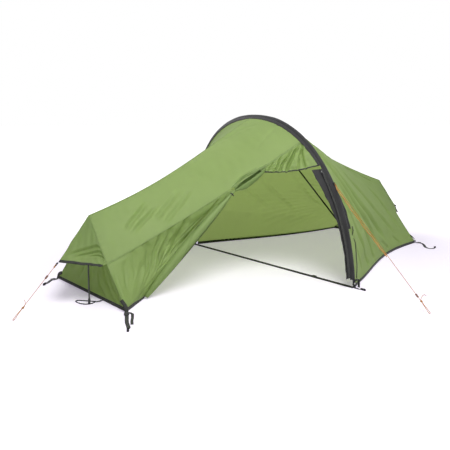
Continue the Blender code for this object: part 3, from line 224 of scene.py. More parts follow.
def flySurface(u, hoopShare, endShare, near, side, hemCurve=0.0):
    v = lerp(hoopShare, endShare, u)
    p = between(hoopEdge(hoopShare, near, side), endEdge(endShare, near, side), u)
    turn = v * math.pi / 2
    roofSag = fly["roofSagLeft"] if side < 0 else fly["roofSagRight"]
    depth = lerp(roofSag, fly["wallSag"], np.minimum(1.0, fly["roofEnds"] * v))
    depth = lerp(depth, hemCurve, smooth((v - fly["hemFrom"]) / (1 - fly["hemFrom"])))
    dip = depth * np.sin(math.pi * u ** fly["sagShift"])
    if not near:
        reach, shift = fly["shoulder"]
        shoulder = np.sin(math.pi * np.minimum(1.0, hoopShare * reach)) * np.sin(math.pi * u ** shift)
        dip = dip + fly["shoulderSag"] * shoulder
    inward = 1.0 if near else -1.0
    return p + xyz(0.0, np.sin(turn) * inward, -np.cos(turn)) * dip[..., None]


def seamPoint(u):  # the roof seam on the door side, 0 at the hoop and 1 at the end
    u = np.asarray(u, float)
    flat = np.ones(u.shape)
    return flySurface(u, flat * fly["seamOnHoop"], flat * fly["seamOnEnd"], True, -1)


def rollCentre(t):
    t = np.asarray(t, float)
    tie = seamPoint(fly["tiePoint"]) + roll["tie"]
    bow = np.array(roll["bowWay"]) * (roll["bow"] * np.sin(math.pi * t))[..., None]
    return between(roll["foot"], tie, t) + bow


def rollRadius(t):
    t = np.asarray(t, float)
    (least, more, reach, power), (taper, start) = roll["belly"], roll["taper"]
    grow = least + more * np.sin(math.pi * np.clip(t * reach, 0.0, 1.0)) ** power
    return roll["radius"] * grow * (1 - taper * smooth((t - start) / (1 - start)))


def aroundRoll(t, turn, proud):  # beside the roll, turned from its inner side towards the left end
    t = np.asarray(t, float)
    along = unit(rollCentre(t + 0.02) - rollCentre(t - 0.02))
    inward = between(roll["behindFoot"], roll["behindTie"], t)
    inward = unit(inward - along * (inward * along).sum(-1)[..., None])
    left = np.cross(along, inward)
    left = left * np.sign(-left[..., :1])
    way = inward * np.cos(turn)[..., None] + left * np.sin(turn)[..., None]
    return rollCentre(t) + way * (rollRadius(np.clip(t, 0, 1)) + proud)[..., None]


def behindRoll(t):  # where the side panel runs in behind the roll
    return aroundRoll(t, np.zeros(np.shape(t)), roll["behindGap"])


# materials
def addNode(tree, kind, inputs=None, **settings):
    node = tree.nodes.new(kind)
    for name, value in settings.items():
        setattr(node, name, value)
    for name, value in (inputs or {}).items():
        socket = node.inputs[name]
        if isinstance(value, bpy.types.NodeSocket):
            tree.links.new(value, socket)
        else:
            socket.default_value = value
    return node


def maths(tree, operation, a, b=0.5, c=None, clamp=False):
    values = {0: a, 1: b} if c is None else {0: a, 1: b, 2: c}
    return addNode(tree, "ShaderNodeMath", values, operation=operation, use_clamp=clamp).outputs[0]


def colourMix(tree, factor, a, b):
    return addNode(tree, "ShaderNodeMix", {0: factor, 6: a, 7: b}, data_type="RGBA").outputs[2]


def noise(tree, vector, scale, detail=2.0, roughness=0.5, distortion=0.0):
    return addNode(tree, "ShaderNodeTexNoise", {"Vector": vector, "Scale": scale, "Detail": detail,
                   "Roughness": roughness, "Distortion": distortion}).outputs[0]


def bump(tree, height, distance, strength=1.0, normal=None):
    values = {"Height": height, "Distance": distance, "Strength": strength}
    if normal is not None:
        values["Normal"] = normal
    return addNode(tree, "ShaderNodeBump", values).outputs[0]


def nodeWave(tree, value, pitch):
    return maths(tree, "SINE", maths(tree, "MULTIPLY", value, math.tau / pitch))


def spread(tree, value, factor, shift):
    return maths(tree, "MULTIPLY_ADD", value, factor, shift, clamp=True)


def objectPlace(tree):
    return addNode(tree, "ShaderNodeTexCoord").outputs["Object"]


def clothPlace(tree):  # along and across the piece, from its own UV map
    uv = addNode(tree, "ShaderNodeUVMap", uv_map="cloth").outputs[0]
    return addNode(tree, "ShaderNodeSeparateXYZ", {0: uv}).outputs[:2]


def colour(r, g, b):
    return (r, g, b, 1.0)


def darker(tint, share):
    return colour(*(share * part for part in tint[:3]))


def startMaterial(name, roughness, metallic=0.0, specular=0.5, sheen=0.0):
    made = bpy.data.materials.new(name)
    made.use_nodes = True
    shader = made.node_tree.nodes["Principled BSDF"]
    shader.inputs["Roughness"].default_value = roughness
    shader.inputs["Metallic"].default_value = metallic
    shader.inputs["Specular IOR Level"].default_value = specular
    shader.inputs["Sheen Weight"].default_value = sheen
    return made, made.node_tree, shader


def plugIn(tree, shader, base, normal=None, roughness=None):
    for label, value in (("Base Color", base), ("Normal", normal), ("Roughness", roughness)):
        if value is not None:
            tree.links.new(value, shader.inputs[label])


def mixShaders(tree, share, a, b, output):
    mixed = addNode(tree, "ShaderNodeMixShader", {0: share, 1: a.outputs[0], 2: b.outputs[0]})
    tree.links.new(mixed.outputs[0], tree.nodes[output].inputs["Surface"])


def gridLines(tree, u, v, spacing, width):  # 1 on the lines of a square grid
    lines = []
    for along in (u, v):
        part = maths(tree, "FRACT", maths(tree, "DIVIDE", along, spacing))
        lines.append(maths(tree, "LESS_THAN", part, width))
    return maths(tree, "MAXIMUM", *lines)


# the colours end, inside and rolled are darker greens, painted shade; deep is a darker green for random
# patches and for painted shade
flyFinish = {"green": colour(0.325, 0.425, 0.185), "deep": colour(0.270, 0.370, 0.140),
             "end": colour(0.205, 0.290, 0.105), "inside": colour(0.150, 0.235, 0.060),
             "rolled": colour(0.225, 0.325, 0.100), "line": colour(0.40, 0.46, 0.24), "lineTint": 0.10,
             "through": colour(0.68, 0.765, 0.44), "throughLine": colour(0.40, 0.48, 0.16), "lineGlow": 0.20,
             "throughShare": 0.58, "rolledShare": 0.26, "shadowPaintedShare": 0.10, "roughness": 0.55,
             "specular": 0.42, "sheen": 0.08, "ripstop": 0.0060, "lineWidth": 0.09, "patch": 3.5,
             "crinkle": 21.0, "broad": 6.5, "hill": 0.0014, "weave": 0.00010}


# a shade shift above 0 moves the patches' mix towards the deep colour: painted shade, for a darker copy of
# the one cloth; the noise patches themselves are random tone
def flyMaterial(name, share, paintedShadeShift=0.0, main="green"):  # share of the light that comes through
    made, tree, shader = startMaterial(name, flyFinish["roughness"], specular=flyFinish["specular"],
                                       sheen=flyFinish["sheen"])
    place = objectPlace(tree)
    lines = gridLines(tree, *clothPlace(tree), flyFinish["ripstop"], flyFinish["lineWidth"])
    patches = spread(tree, noise(tree, place, flyFinish["patch"], 3.0, 0.55), 1.3, -0.15 + paintedShadeShift)
    base = colourMix(tree, patches, flyFinish[main], flyFinish["deep"])
    base = colourMix(tree, maths(tree, "MULTIPLY", lines, flyFinish["lineTint"]), base, flyFinish["line"])
    crinkle = noise(tree, place, flyFinish["crinkle"], 3.0, 0.55, 0.9)
    broad = noise(tree, place, flyFinish["broad"], 2.0, 0.5, 0.6)
    hills = maths(tree, "MULTIPLY_ADD", broad, 2.2, crinkle)
    weave = bump(tree, lines, flyFinish["weave"], 0.6)
    plugIn(tree, shader, base, bump(tree, hills, flyFinish["hill"], 0.8, weave))
    lit = colourMix(tree, maths(tree, "MULTIPLY", lines, flyFinish["lineGlow"]),
                    flyFinish["through"], flyFinish["throughLine"])
    through = addNode(tree, "ShaderNodeBsdfTranslucent", {"Color": lit})
    mixShaders(tree, share, shader, through, "Material Output")
    return made


blackFinish = {"black": colour(0.012, 0.012, 0.013), "worn": colour(0.030, 0.030, 0.031), "thread": 0.0011,
               "rub": 9.0, "crinkle": 26.0}


def blackClothMaterial():
    made, tree, shader = startMaterial("blackSleeveCloth", 0.62, specular=0.25, sheen=0.05)
    place = objectPlace(tree)
    threads = [nodeWave(tree, way, blackFinish["thread"]) for way in clothPlace(tree)]
    rub = spread(tree, noise(tree, place, blackFinish["rub"], 4.0, 0.6), 1.6, -0.4)
    weave = bump(tree, maths(tree, "MULTIPLY", *threads), 0.00012, 0.7)
    crinkle = noise(tree, place, blackFinish["crinkle"], 3.0, 0.6, 0.8)
    plugIn(tree, shader, colourMix(tree, rub, blackFinish["black"], blackFinish["worn"]),
           bump(tree, crinkle, 0.0016, 0.6, weave))
    return made


webFinish = {"rib": 0.0012, "cords": 9, "rub": 45.0, "roughness": 0.75}


def webbingMaterial(name, dark, light):
    # its UV map runs along the tape in metres, and across it from 0 to 1
    made, tree, shader = startMaterial(name, webFinish["roughness"], specular=0.2, sheen=0.06)
    along, over = clothPlace(tree)
    ribs, cords = nodeWave(tree, along, webFinish["rib"]), nodeWave(tree, over, 1 / webFinish["cords"])
    height = maths(tree, "MULTIPLY", ribs, cords)
    rub = noise(tree, objectPlace(tree), webFinish["rub"], 3.0, 0.6)
    # the colour follows the ribs' height, lighter on top and darker between them, which is painted shade in
    # the grooves, mixed with rubbed wear
    weave = spread(tree, maths(tree, "MULTIPLY_ADD", height, 0.25, rub), 1.4, -0.3)
    plugIn(tree, shader, colourMix(tree, weave, dark, light), bump(tree, height, 0.00022, 0.9))
    return made


hardWear = {"grain": 900.0, "wear": 70.0, "brushed": 240.0, "twist": 1500.0}


def plasticMaterial(name, dark, light, roughness):
    made, tree, shader = startMaterial(name, roughness, specular=0.5)
    place = objectPlace(tree)
    wear = noise(tree, place, hardWear["wear"], 4.0, 0.65)
    grain = noise(tree, place, hardWear["grain"], 2.0, 0.6)
    plugIn(tree, shader, colourMix(tree, spread(tree, wear, 2.2, -0.8), dark, light),
           bump(tree, grain, 0.00008, 0.5), maths(tree, "MULTIPLY_ADD", wear, 0.25, roughness - 0.12))
    return made


def metalMaterial(name, tint, roughness):
    made, tree, shader = startMaterial(name, roughness, metallic=1.0)
    brushed = noise(tree, objectPlace(tree), hardWear["brushed"], 3.0, 0.6)
    plugIn(tree, shader, colourMix(tree, brushed, tint, darker(tint, 0.8)),
           roughness=maths(tree, "MULTIPLY_ADD", brushed, 0.2, roughness - 0.1))
    return made


cordFinish = {"dark": colour(0.40, 0.150, 0.014), "light": colour(0.56, 0.240, 0.028),
              "fleck": colour(0.42, 0.24, 0.10), "strands": 8.0, "pitch": 0.0032}


def cordMaterial():
    # a braid: two sets of slanting strands from the tube's own UV map, with a pale fleck. Its colour is
    # lighter on the raised strands and darker between them, painted shade
    made, tree, shader = startMaterial("orangeBraid", 0.7, specular=0.3, sheen=0.3)
    along, around = clothPlace(tree)
    strands = []
    for lean in (1.0, -1.0):
        turn = maths(tree, "MULTIPLY_ADD", around, cordFinish["strands"] * lean * math.tau,
                     maths(tree, "MULTIPLY", along, math.tau / cordFinish["pitch"]))
        strands.append(maths(tree, "SINE", turn))
    braid = maths(tree, "MULTIPLY", *strands)
    fleck = maths(tree, "GREATER_THAN", strands[0], 0.86)
    base = colourMix(tree, spread(tree, braid, 0.5, 0.5), cordFinish["dark"], cordFinish["light"])
    base = colourMix(tree, maths(tree, "MULTIPLY", fleck, 0.5), base, cordFinish["fleck"])
    plugIn(tree, shader, base, bump(tree, braid, 0.00025, 0.8))
    return made


def threadMaterial(name, tint):
    made, tree, shader = startMaterial(name, 0.6, specular=0.3)
    twist = noise(tree, objectPlace(tree), hardWear["twist"], 2.0, 0.5)
    plugIn(tree, shader, colourMix(tree, twist, tint, darker(tint, 0.75)))
    return made


finishes = {
    "fly": flyMaterial("coatedNylon", flyFinish["throughShare"]),
    "flyShade": flyMaterial("coatedNylonShade", flyFinish["throughShare"], 0.55),
    # painted shade: the rolled door and its cover are given a darker green
    "flyRolledShade": flyMaterial("coatedNylonRolledShade", flyFinish["rolledShare"], -0.5, "rolled"),
    # painted shade: the end walls and hoods are given a darker green
    "flyEndShade": flyMaterial("coatedNylonEndShade", flyFinish["throughShare"], -0.3, "end"),
    # painted shadow: a dark green for the fold under the seam and for the crease strip
    "flyShadowPainted": flyMaterial("coatedNylonShadowPainted", flyFinish["shadowPaintedShare"], -0.7, "inside"),
    "blackCloth": blackClothMaterial(),
    "webbing": webbingMaterial("blackWebbing", colour(0.012, 0.012, 0.013), colour(0.034, 0.034, 0.036)),
    "greyTape": webbingMaterial("greyTape", colour(0.030, 0.032, 0.029), colour(0.062, 0.065, 0.058)),
    "hemTape": webbingMaterial("greenHem", colour(0.085, 0.120, 0.045), colour(0.130, 0.175, 0.070)),
    "plastic": plasticMaterial("blackAcetal", colour(0.020, 0.020, 0.022), colour(0.042, 0.042, 0.046), 0.42),
    "rust": plasticMaterial("rustAcetal", colour(0.13, 0.045, 0.018), colour(0.21, 0.080, 0.032), 0.45),
    "rubber": plasticMaterial("blackRubber", colour(0.020, 0.020, 0.021), colour(0.036, 0.036, 0.038), 0.75),
    "pole": metalMaterial("anodisedTube", colour(0.085, 0.087, 0.095), 0.34),
    "eyelet": metalMaterial("platedEyelet", colour(0.62, 0.62, 0.60), 0.32),
    "blackPole": plasticMaterial("blackTube", colour(0.018, 0.018, 0.020), colour(0.034, 0.034, 0.038), 0.38),
    "slider": metalMaterial("castSlider", colour(0.40, 0.40, 0.42), 0.42),
    "cord": cordMaterial(),
    "greenThread": threadMaterial("greenThread", colour(0.17, 0.27, 0.07)),
    "blackThread": threadMaterial("blackThread", colour(0.05, 0.05, 0.055)),
    "zipTeeth": plasticMaterial("zipCoil", colour(0.030, 0.030, 0.033), colour(0.060, 0.060, 0.065), 0.45),
}
print("materials made,", len(finishes))


# meshes
def gridNormals(grid):
    return unit(np.cross(np.gradient(grid, axis=0), np.gradient(grid, axis=1)))


def meshObject(name, points, faces, finish, uvs=None):
    mesh = bpy.data.meshes.new(name)
    mesh.from_pydata(np.asarray(points, float).tolist(), [], [list(f) for f in faces])
    mesh.update()
    if uvs is not None:
        layer = mesh.uv_layers.new(name="cloth")
        index = np.empty(len(mesh.loops), int)
        mesh.loops.foreach_get("vertex_index", index)
        layer.data.foreach_set("uv", np.asarray(uvs, np.float32)[index].ravel())
    mesh.materials.append(finishes[finish])
    mesh.shade_smooth()
    made = bpy.data.objects.new(name, mesh)
    bpy.context.collection.objects.link(made)
    return made


def lengthsAlong(grid, axis):
    steps = np.linalg.norm(np.diff(grid, axis=axis), axis=2)
    zero = np.zeros((1, grid.shape[1])) if axis == 0 else np.zeros((grid.shape[0], 1))
    return np.concatenate((zero, np.cumsum(steps, axis=axis)), axis=axis)


def gridArea(grid):
    a = np.cross(grid[1:, :-1] - grid[:-1, :-1], grid[:-1, 1:] - grid[:-1, :-1])
    b = np.cross(grid[1:, 1:] - grid[1:, :-1], grid[1:, 1:] - grid[:-1, 1:])
    return float(np.linalg.norm(a, axis=2).sum() + np.linalg.norm(b, axis=2).sum()) / 2


def clothObject(name, grid, finish, inside=tentMiddle, thickness=None):
    # a grid of points as cloth, thickened towards the point inside
    grid = np.asarray(grid, float)
    rows, cols = grid.shape[:2]
    middle = (rows // 2, cols // 2)
    index = np.arange(rows * cols).reshape(rows, cols)
    quads = np.stack((index[:-1, :-1], index[1:, :-1], index[1:, 1:], index[:-1, 1:]), axis=-1).reshape(-1, 4)
    if gridNormals(grid)[middle] @ (np.asarray(inside) - grid[middle]) > 0:
        quads = quads[:, ::-1]
    uvs = np.stack((lengthsAlong(grid, 0), lengthsAlong(grid, 1)), axis=-1).reshape(-1, 2)
    made = meshObject(name, grid.reshape(-1, 3), quads, finish, uvs)
    solid = made.modifiers.new("thickness", "SOLIDIFY")
    solid.thickness = thickness or fly["thickness"]
    solid.offset = -1.0
    return made


def sewIn(piece, slot, *stoodFor):
    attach(piece, tentBody)
    if stoodFor:
        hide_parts(*stoodFor)
    return piece


def sweepTube(name, path, ups, outline, finish, bore=None, loop=False):
    # outline points are (across, up) lengths, one list for all stations or one for each
    path = np.asarray(path, float)
    ups = np.broadcast_to(np.asarray(ups, float), path.shape)
    if loop:
        along = unit(np.roll(path, -1, axis=0) - np.roll(path, 1, axis=0))
    else:
        along = unit(np.gradient(path, axis=0))
    across = unit(np.cross(along, ups))
    top = unit(np.cross(across, along))
    outline = np.asarray(outline, float)
    if outline.ndim == 2:
        outline = np.repeat(outline[None], len(path), axis=0)
    count, rings = outline.shape[1], len(path)
    shell = path[:, None] + across[:, None] * outline[..., :1] + top[:, None] * outline[..., 1:]
    around = np.abs(np.linspace(-1, 1, count))
    uvs = np.stack(np.broadcast_arrays(runAlong(path)[:, None], around[None]), axis=-1).reshape(-1, 2)
    points = shell.reshape(-1, 3)
    faces = ringFaces(0, count, rings, loop)
    last = (rings - 1) * count
    if bore is not None:
        inner = path[:, None] + across[:, None] * bore[:, :1] + top[:, None] * bore[:, 1:]
        start = len(points)
        points = np.concatenate((points, inner.reshape(-1, 3)))
        uvs = np.concatenate((uvs, uvs))
        faces += [face[::-1] for face in ringFaces(start, count, rings, loop)]
        for m in range(count):
            n = (m + 1) % count
            faces.append([n, m, start + m, start + n])
            faces.append([last + m, last + n, start + last + n, start + last + m])
    elif not loop:
        faces.append(list(range(count - 1, -1, -1)))
        faces.append([last + m for m in range(count)])
    made = meshObject(name, points, faces, finish, uvs)
    faceOut(made)
    return made


def ringFaces(start, count, rings, loop):
    k = np.arange(count)
    faces = []
    for i in range(rings if loop else rings - 1):
        a = start + i * count
        b = start + ((i + 1) % rings) * count
        n = (k + 1) % count
        faces += np.stack((a + k, a + n, b + n, b + k), axis=1).tolist()
    return faces


def faceOut(made):  # a closed shell whose volume comes out negative is turned over
    total = sum(face.area * face.normal.dot(face.center) for face in made.data.polygons)
    if total < 0:
        made.data.flip_normals()


def tapeOutline(width, height, low=0.0):  # a flat band with rounded edges, across and up
    r = min(height, width) * 0.35
    w, top = width / 2, low + height
    return [(-w, low + r), (-w + r, low), (w - r, low), (w, low + r),
            (w, top - r), (w - r, top), (-w + r, top), (-w, top - r)]


def roundOutline(radius, sides=12):
    a = np.arange(sides) * math.tau / sides
    return np.stack((radius * np.cos(a), radius * np.sin(a)), axis=1)


sharpFrom = math.radians(40)


def plateRing(name, place, axes, outer, inner, thickness, finish, soften):
    # a flat plate with one hole. axes are its x, y and z directions
    count = len(outer)
    flat = np.concatenate((outer, outer, inner, inner))
    height = np.repeat((-0.5, 0.5, -0.5, 0.5), count) * thickness
    points = np.asarray(place) + np.column_stack((flat, height)) @ np.asarray(axes)
    faces = []
    for k in range(count):
        m = (k + 1) % count
        faces += [[k, m, m + count, k + count], [k + 3 * count, m + 3 * count, m + 2 * count, k + 2 * count],
                  [k + count, m + count, m + 3 * count, k + 3 * count], [k + 2 * count, m + 2 * count, m, k]]
    made = meshObject(name, points, faces, finish, flat)
    faceOut(made)
    made.data.set_sharp_from_angle(angle=sharpFrom)
    bevel = made.modifiers.new("softEdges", "BEVEL")
    bevel.width = soften
    bevel.segments = 2
    bevel.limit_method = "ANGLE"
    bevel.angle_limit = sharpFrom
    return made


def roundedBox(x, y, radius, steps=4):  # outline of half sizes x and y with round corners
    outline = []
    for cx, cy, start in ((x, y, 0), (-x, y, 90), (-x, -y, 180), (x, -y, 270)):
        for a in np.radians(start + 90 * np.arange(steps + 1) / steps):
            outline.append((math.copysign(abs(cx) - radius, cx) + radius * math.cos(a),
                            math.copysign(abs(cy) - radius, cy) + radius * math.sin(a)))
    return np.array(outline)


# the camera at the photograph's angle
camera = {"place": (-2.68574, -2.82191, 0.98561), "tilt": 79.5023, "turn": -39.7185, "lens": 46.447}
cameraData = bpy.data.cameras.new("studioCamera")
cameraData.lens = camera["lens"]
cameraObject = bpy.data.objects.new("studioCamera", cameraData)
cameraObject.location = camera["place"]
cameraObject.rotation_euler = (math.radians(camera["tilt"]), 0.0, math.radians(camera["turn"]))
bpy.context.collection.objects.link(cameraObject)
bpy.context.scene.camera = cameraObject


# guylines: straight down to the knot, round the peg loop and back up to it
guy = {"radius": 0.0015, "thin": 0.95, "lie": 0.00125, "pegLoop": 0.075, "bend": 0.0055,
       "whipping": {"size": 2.9, "turns": 3.0, "aside": 0.0022},
       "hitch": {"size": 2.1, "turns": 2.5, "down": 0.0062},
       "eye": {"reach": 0.00651, "high": 0.0030, "down": -0.0038, "thin": 0.9},
       "left": {"start": (-1.49854, -0.017047, 0.229434), "end": (-1.745, -0.052, 0.0), "steps": 12,
                "tail": [(0.003, 0.0, 0.010), (0.005, 0.003, 0.022), (0.001, 0.005, 0.034)]},
       "near": {"start": (-0.013578, -0.621782, 0.594336), "end": (-0.070, -1.312, 0.0), "steps": 24,
                "tail": [(0.008, 0.0, 0.013), (0.028, 0.0, 0.021), (0.050, 0.0, 0.011)],
                "spare": {"share": 0.64, "aside": (0.0095, 0.0130), "sag": 0.006, "wave": 0.0016,
                          "hitch": 0.012}}}


def guyRoute(start, end, steps):
    start, end = np.asarray(start), np.asarray(end) + upward * guy["lie"]
    down = unit(end - start)
    side = unit(np.cross(down, upward))
    knot = end - down * guy["pegLoop"]
    route = [lerp(start, knot, t) for t in np.linspace(0, 1, steps)]
    bend = 1 - guy["bend"] / guy["pegLoop"]
    spreadOut = [(0.30, 0.0022), (0.60, 0.0044), (0.85, guy["bend"])]
    for turn in np.radians((30, 60, 90)):
        spreadOut.append((bend + (1 - bend) * math.sin(turn), guy["bend"] * math.cos(turn)))
    route += [knot + down * guy["pegLoop"] * t + side * w for t, w in spreadOut]
    route += [knot + down * guy["pegLoop"] * t - side * w for t, w in spreadOut[-2::-1]]
    route += [knot - side * 0.0034 + down * 0.004, knot - side * 0.0060 - down * 0.010]
    return np.array(route), knot, down, side


def wound(place, axis, side, size, turns):  # points of a coil of cord round an axis
    a = np.linspace(0, turns * math.tau, int(turns * 16))
    up = np.cross(axis, side)
    radius, pitch = guy["radius"] * size, guy["radius"] * 1.9
    return (place + side * (radius * np.cos(a))[:, None] + up * (radius * np.sin(a))[:, None]
            + axis * ((a / math.tau - turns / 2) * pitch)[:, None])


def cordTube(name, path, up, thin=guy["thin"], sides=8, loop=False):
    return sweepTube(name, path, up, roundOutline(guy["radius"] * thin, sides), "cord", loop=loop)


def spareCord(word, start, knot, side, spare):
    # a long loop of spare cord that hangs beside the line from its upper hitch
    near, far = spare["aside"]
    down = (knot - start) * spare["share"]
    t = np.linspace(0, 1, 90)
    middle = start + down * lerp(spare["hitch"], 1.0, t)[:, None]
    middle = middle + xyz(0.0, 0.0, -spare["sag"] * np.sin(math.pi * t))
    wave = spare["wave"] * (np.sin(23 * t) + np.sin(57 * t + 1)) * smooth(6 * t)
    strands = [middle + side * (away * smooth(t / 0.05) + wave)[:, None] for away in (near, far)]
    turn = lerp(strands[0][-1], strands[1][-1], 0.5) + unit(down) * (far - near) * 0.8
    path = pointsAlong([*strands[0], turn, *strands[1][::-1]], 420)
    return cordTube("guySpare." + word, path, np.cross(unit(down), side))


def makeGuy(word):
    facts = guy[word]
    route, knot, down, side = guyRoute(facts["start"], facts["end"], facts["steps"])
    path = pointsAlong(route, 260)
    up = np.cross(down, side)
    start = np.asarray(facts["start"])
    line = cordTube("guyCord." + word, path, up, 1.0, 12)
    whipping, hitch, eye = guy["whipping"], guy["hitch"], guy["eye"]
    coil = wound(knot - side * whipping["aside"], down, side, whipping["size"], whipping["turns"])
    bight = wound(start + down * hitch["down"], down, side, hitch["size"], hitch["turns"])
    a = fullTurn(40)[:, None]
    ring = start + down * (eye["down"] + eye["reach"] * np.cos(a)) + up * (eye["high"] * np.sin(a))
    loose = pointsAlong([route[-1]] + [route[-1] + t for t in np.array(facts["tail"])], 40)
    dressings = [cordTube("guyKnot." + word, coil, down), cordTube("guyTail." + word, loose, side),
                 cordTube("guyHitch." + word, bight, down, eye["thin"]),
                 cordTube("guyEye." + word, ring, side, eye["thin"], loop=True)]
    if "spare" in facts:
        dressings.append(spareCord(word, start, knot, side, facts["spare"]))
    for piece in [line] + dressings:
        sewIn(piece, "guy_cord")
    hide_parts("guy_line_" + word)
    length = float(runAlong(path)[-1])
    return length


print("guylines", [round(makeGuy(word), 3) for word in ("left", "near")], "m")


# fly panels. A fold is its depth and width in metres, the line of u and v shares that it follows,
# and whether it runs out open at its start and end
def lifted(grid, lift, inside=tentMiddle):
    normals = gridNormals(grid)
    middle = (grid.shape[0] // 2, grid.shape[1] // 2)
    if normals[middle] @ (np.asarray(inside) - grid[middle]) > 0:
        normals = -normals
    return grid + normals * lift[..., None]


def creased(u, v, size, folds):
    lift = np.zeros(u.shape)
    for depth, width, line, *ends in folds:
        lift += crease(u * size[0], v * size[1], np.array(line) * size, width, depth, *ends)
    return lift


def edgeFade(u, v, size, reach=0.05):
    fade = 1.0
    for share, length in ((u, size[0]), (1 - u, size[0]), (v, size[1]), (1 - v, size[1])):
        fade = fade * smooth(share * length / reach)
    return fade


gather = {"height": 0.0011, "pitch": 0.041, "reach": 0.024, "clear": 0.010, "wander": 2.4}


def pucker(run, away, seed):  # small gathers along a stitched edge
    turn = run * math.tau / gather["pitch"] + gather["wander"] * swell(run, 0 * run, 0.23, seed)
    near = np.exp(-(away / gather["reach"]) ** 2) * smooth(away / gather["clear"])
    return gather["height"] * np.sin(turn) * near


looseness = {"broadWave": 0.34, "fineWave": 0.10, "edge": 0.07}


def slack(u, v, size, seed, broad=0.0022, fine=0.0008):  # the cloth's own looseness between its seams
    x, y = u * size[0], v * size[1]
    lift = broad * swell(x, y, looseness["broadWave"], seed)
    lift = lift + fine * swell(x, y, looseness["fineWave"], seed + 1)
    lift = lift * edgeFade(u, v, size, looseness["edge"])
    for run, away in ((x, y), (x, size[1] - y), (y, size[0] - x)):
        lift = lift + pucker(run, away, seed + 2)
    return lift


def shares(rows, cols):
    return np.meshgrid(np.linspace(0, 1, rows), np.linspace(0, 1, cols), indexing="ij")


def flatAtHem(v):
    return 1 - smooth((v - 0.985) / 0.015)


def panelGrid(facts, near, side, seed, mainFolds=None, hoopRange=(0.0, 0.99), endRange=(0.0, 1.0), fan=0.0):
    u, v = shares(facts["rows"], facts["cols"])
    size = facts["size"]
    toHem = endRange[1] == 1.0
    endShare = lerp(*endRange, v + fan * np.sin(math.tau * v) / math.tau)
    hem = 0.0 if not toHem else fly["hemCurveNear"] if near else fly["hemCurveFar"]
    grid = flySurface(u, lerp(*hoopRange, v), endShare, near, side, hem)
    if mainFolds:
        grid = grid + mainFolds(u, v)
    if toHem:
        grid[..., 2] += v ** 8 * (fly["hemZ"] - grid[:, -1, 2])[:, None]
    lift = slack(u, v, size, seed) + creased(u, v, size, facts["folds"]) * edgeFade(u, v, size, 0.03)
    return lifted(grid, lift * flatAtHem(v) if toHem else lift)


def nearRightFolds(u, v):  # fan out of the hoop's near foot
    height, count = nearRight["fan"]
    angle = np.arctan2(1 - v + 0.02, u + 0.02)
    reach = np.hypot(u, 1 - v)
    lift = height * np.sin(angle * count) * smooth(reach * 4) * smooth((0.75 - reach) * 3)
    return xyz(0.0, -lift * within(u, 6, 4) * smooth(v * 5), 0.0)


def farFolds(u, v):  # slack diagonals towards the far corner, with small ripples along them
    (height, count), (small, pitch) = farSide["diagonal"], farSide["ripple"]
    across = v * farSide["size"][1] * 0.91 + u * farSide["size"][0] * 0.42
    patches = 0.5 + 0.5 * np.sin(9 * u - 4 * v) * np.sin(7 * v + 3 * u + 1)
    ripple = small * patches * np.sin(across * math.tau / pitch + 2.4 * np.sin(5 * u + 3 * v))
    lift = (height * np.sin(count * (u + 0.55 * v)) + ripple) * within(u, 5, 5)
    return xyz(0.0, lift * within(v, 4, 5), 0.0)


nearRight = {"size": (1.52, 1.05), "rows": 170, "cols": 120, "fan": (0.004, 11.0), "folds": [
    (0.0150, 0.018, [(0.02, 0.60), (0.10, 0.72), (0.18, 0.84), (0.25, 0.96)], True, True),
    (0.0180, 0.022, [(0.05, 0.52), (0.20, 0.68), (0.30, 0.80), (0.38, 0.95)], False, True),
    (0.0230, 0.030, [(0.04, 0.42), (0.25, 0.62), (0.42, 0.78), (0.52, 0.94)], True),
    (0.0230, 0.034, [(0.10, 0.36), (0.35, 0.58), (0.56, 0.75), (0.68, 0.92)]),
    (0.0150, 0.030, [(0.30, 0.28), (0.55, 0.50), (0.75, 0.72), (0.85, 0.90)]),
    (0.0130, 0.014, [(0.56, 0.11), (0.74, 0.08), (0.92, 0.11)]),
    (0.0130, 0.024, [(0.70, 0.20), (0.84, 0.50), (0.93, 0.82)]),
    (0.0110, 0.012, [(0.02, 0.74), (0.07, 0.83), (0.12, 0.95)], True, True),
    (0.0110, 0.016, [(0.02, 0.30), (0.14, 0.42), (0.30, 0.56)], True),
    (0.0100, 0.018, [(0.56, 0.86), (0.66, 0.95)], False, True),
    (0.0100, 0.018, [(0.76, 0.84), (0.84, 0.95)], False, True)]}
farSide = {"size": (1.50, 1.05), "rows": 170, "cols": 150, "diagonal": (0.005, 14.0),
           "ripple": (0.0036, 0.058), "folds": [
    (0.0081, 0.024, [(0.10, 0.22), (0.30, 0.45), (0.52, 0.70), (0.70, 0.92)]),
    (0.0068, 0.020, [(0.05, 0.45), (0.22, 0.58), (0.45, 0.80)], True),
    (0.0072, 0.022, [(0.35, 0.15), (0.55, 0.40), (0.80, 0.72)]),
    (0.0054, 0.016, [(0.02, 0.75), (0.15, 0.80), (0.35, 0.92)], True),
    (0.0054, 0.018, [(0.65, 0.12), (0.80, 0.40), (0.93, 0.80)])]}
roofNear = {"size": (1.45, 0.42), "rows": 170, "cols": 70, "gussetTo": 39, "sideFrom": 64, "folds": [
    (0.0100, 0.024, [(0.88, 0.66), (0.843, 0.542), (0.761, 0.373), (0.72, 0.28)]),
    (0.0100, 0.022, [(0.86, 0.78), (0.824, 0.678), (0.742, 0.559), (0.69, 0.46)]),
    (0.0090, 0.024, [(0.74, 0.76), (0.698, 0.661), (0.629, 0.542), (0.58, 0.44)]),
    (0.0080, 0.022, [(0.73, 0.94), (0.692, 0.86), (0.585, 0.678), (0.52, 0.55)]),
    (0.0050, 0.030, [(0.52, 0.30), (0.46, 0.45), (0.42, 0.66)]),
    (0.0060, 0.016, [(0.30, 0.02), (0.18, 0.09), (0.10, 0.17), (0.05, 0.34)]),
    (0.0030, 0.014, [(0.02, 0.55), (0.10, 0.60), (0.20, 0.70)], True),
    (0.0130, 0.010, [(0.195, 0.995), (0.235, 0.985), (0.270, 0.966), (0.314, 0.947), (0.352, 0.964),
                     (0.385, 0.99)])]}

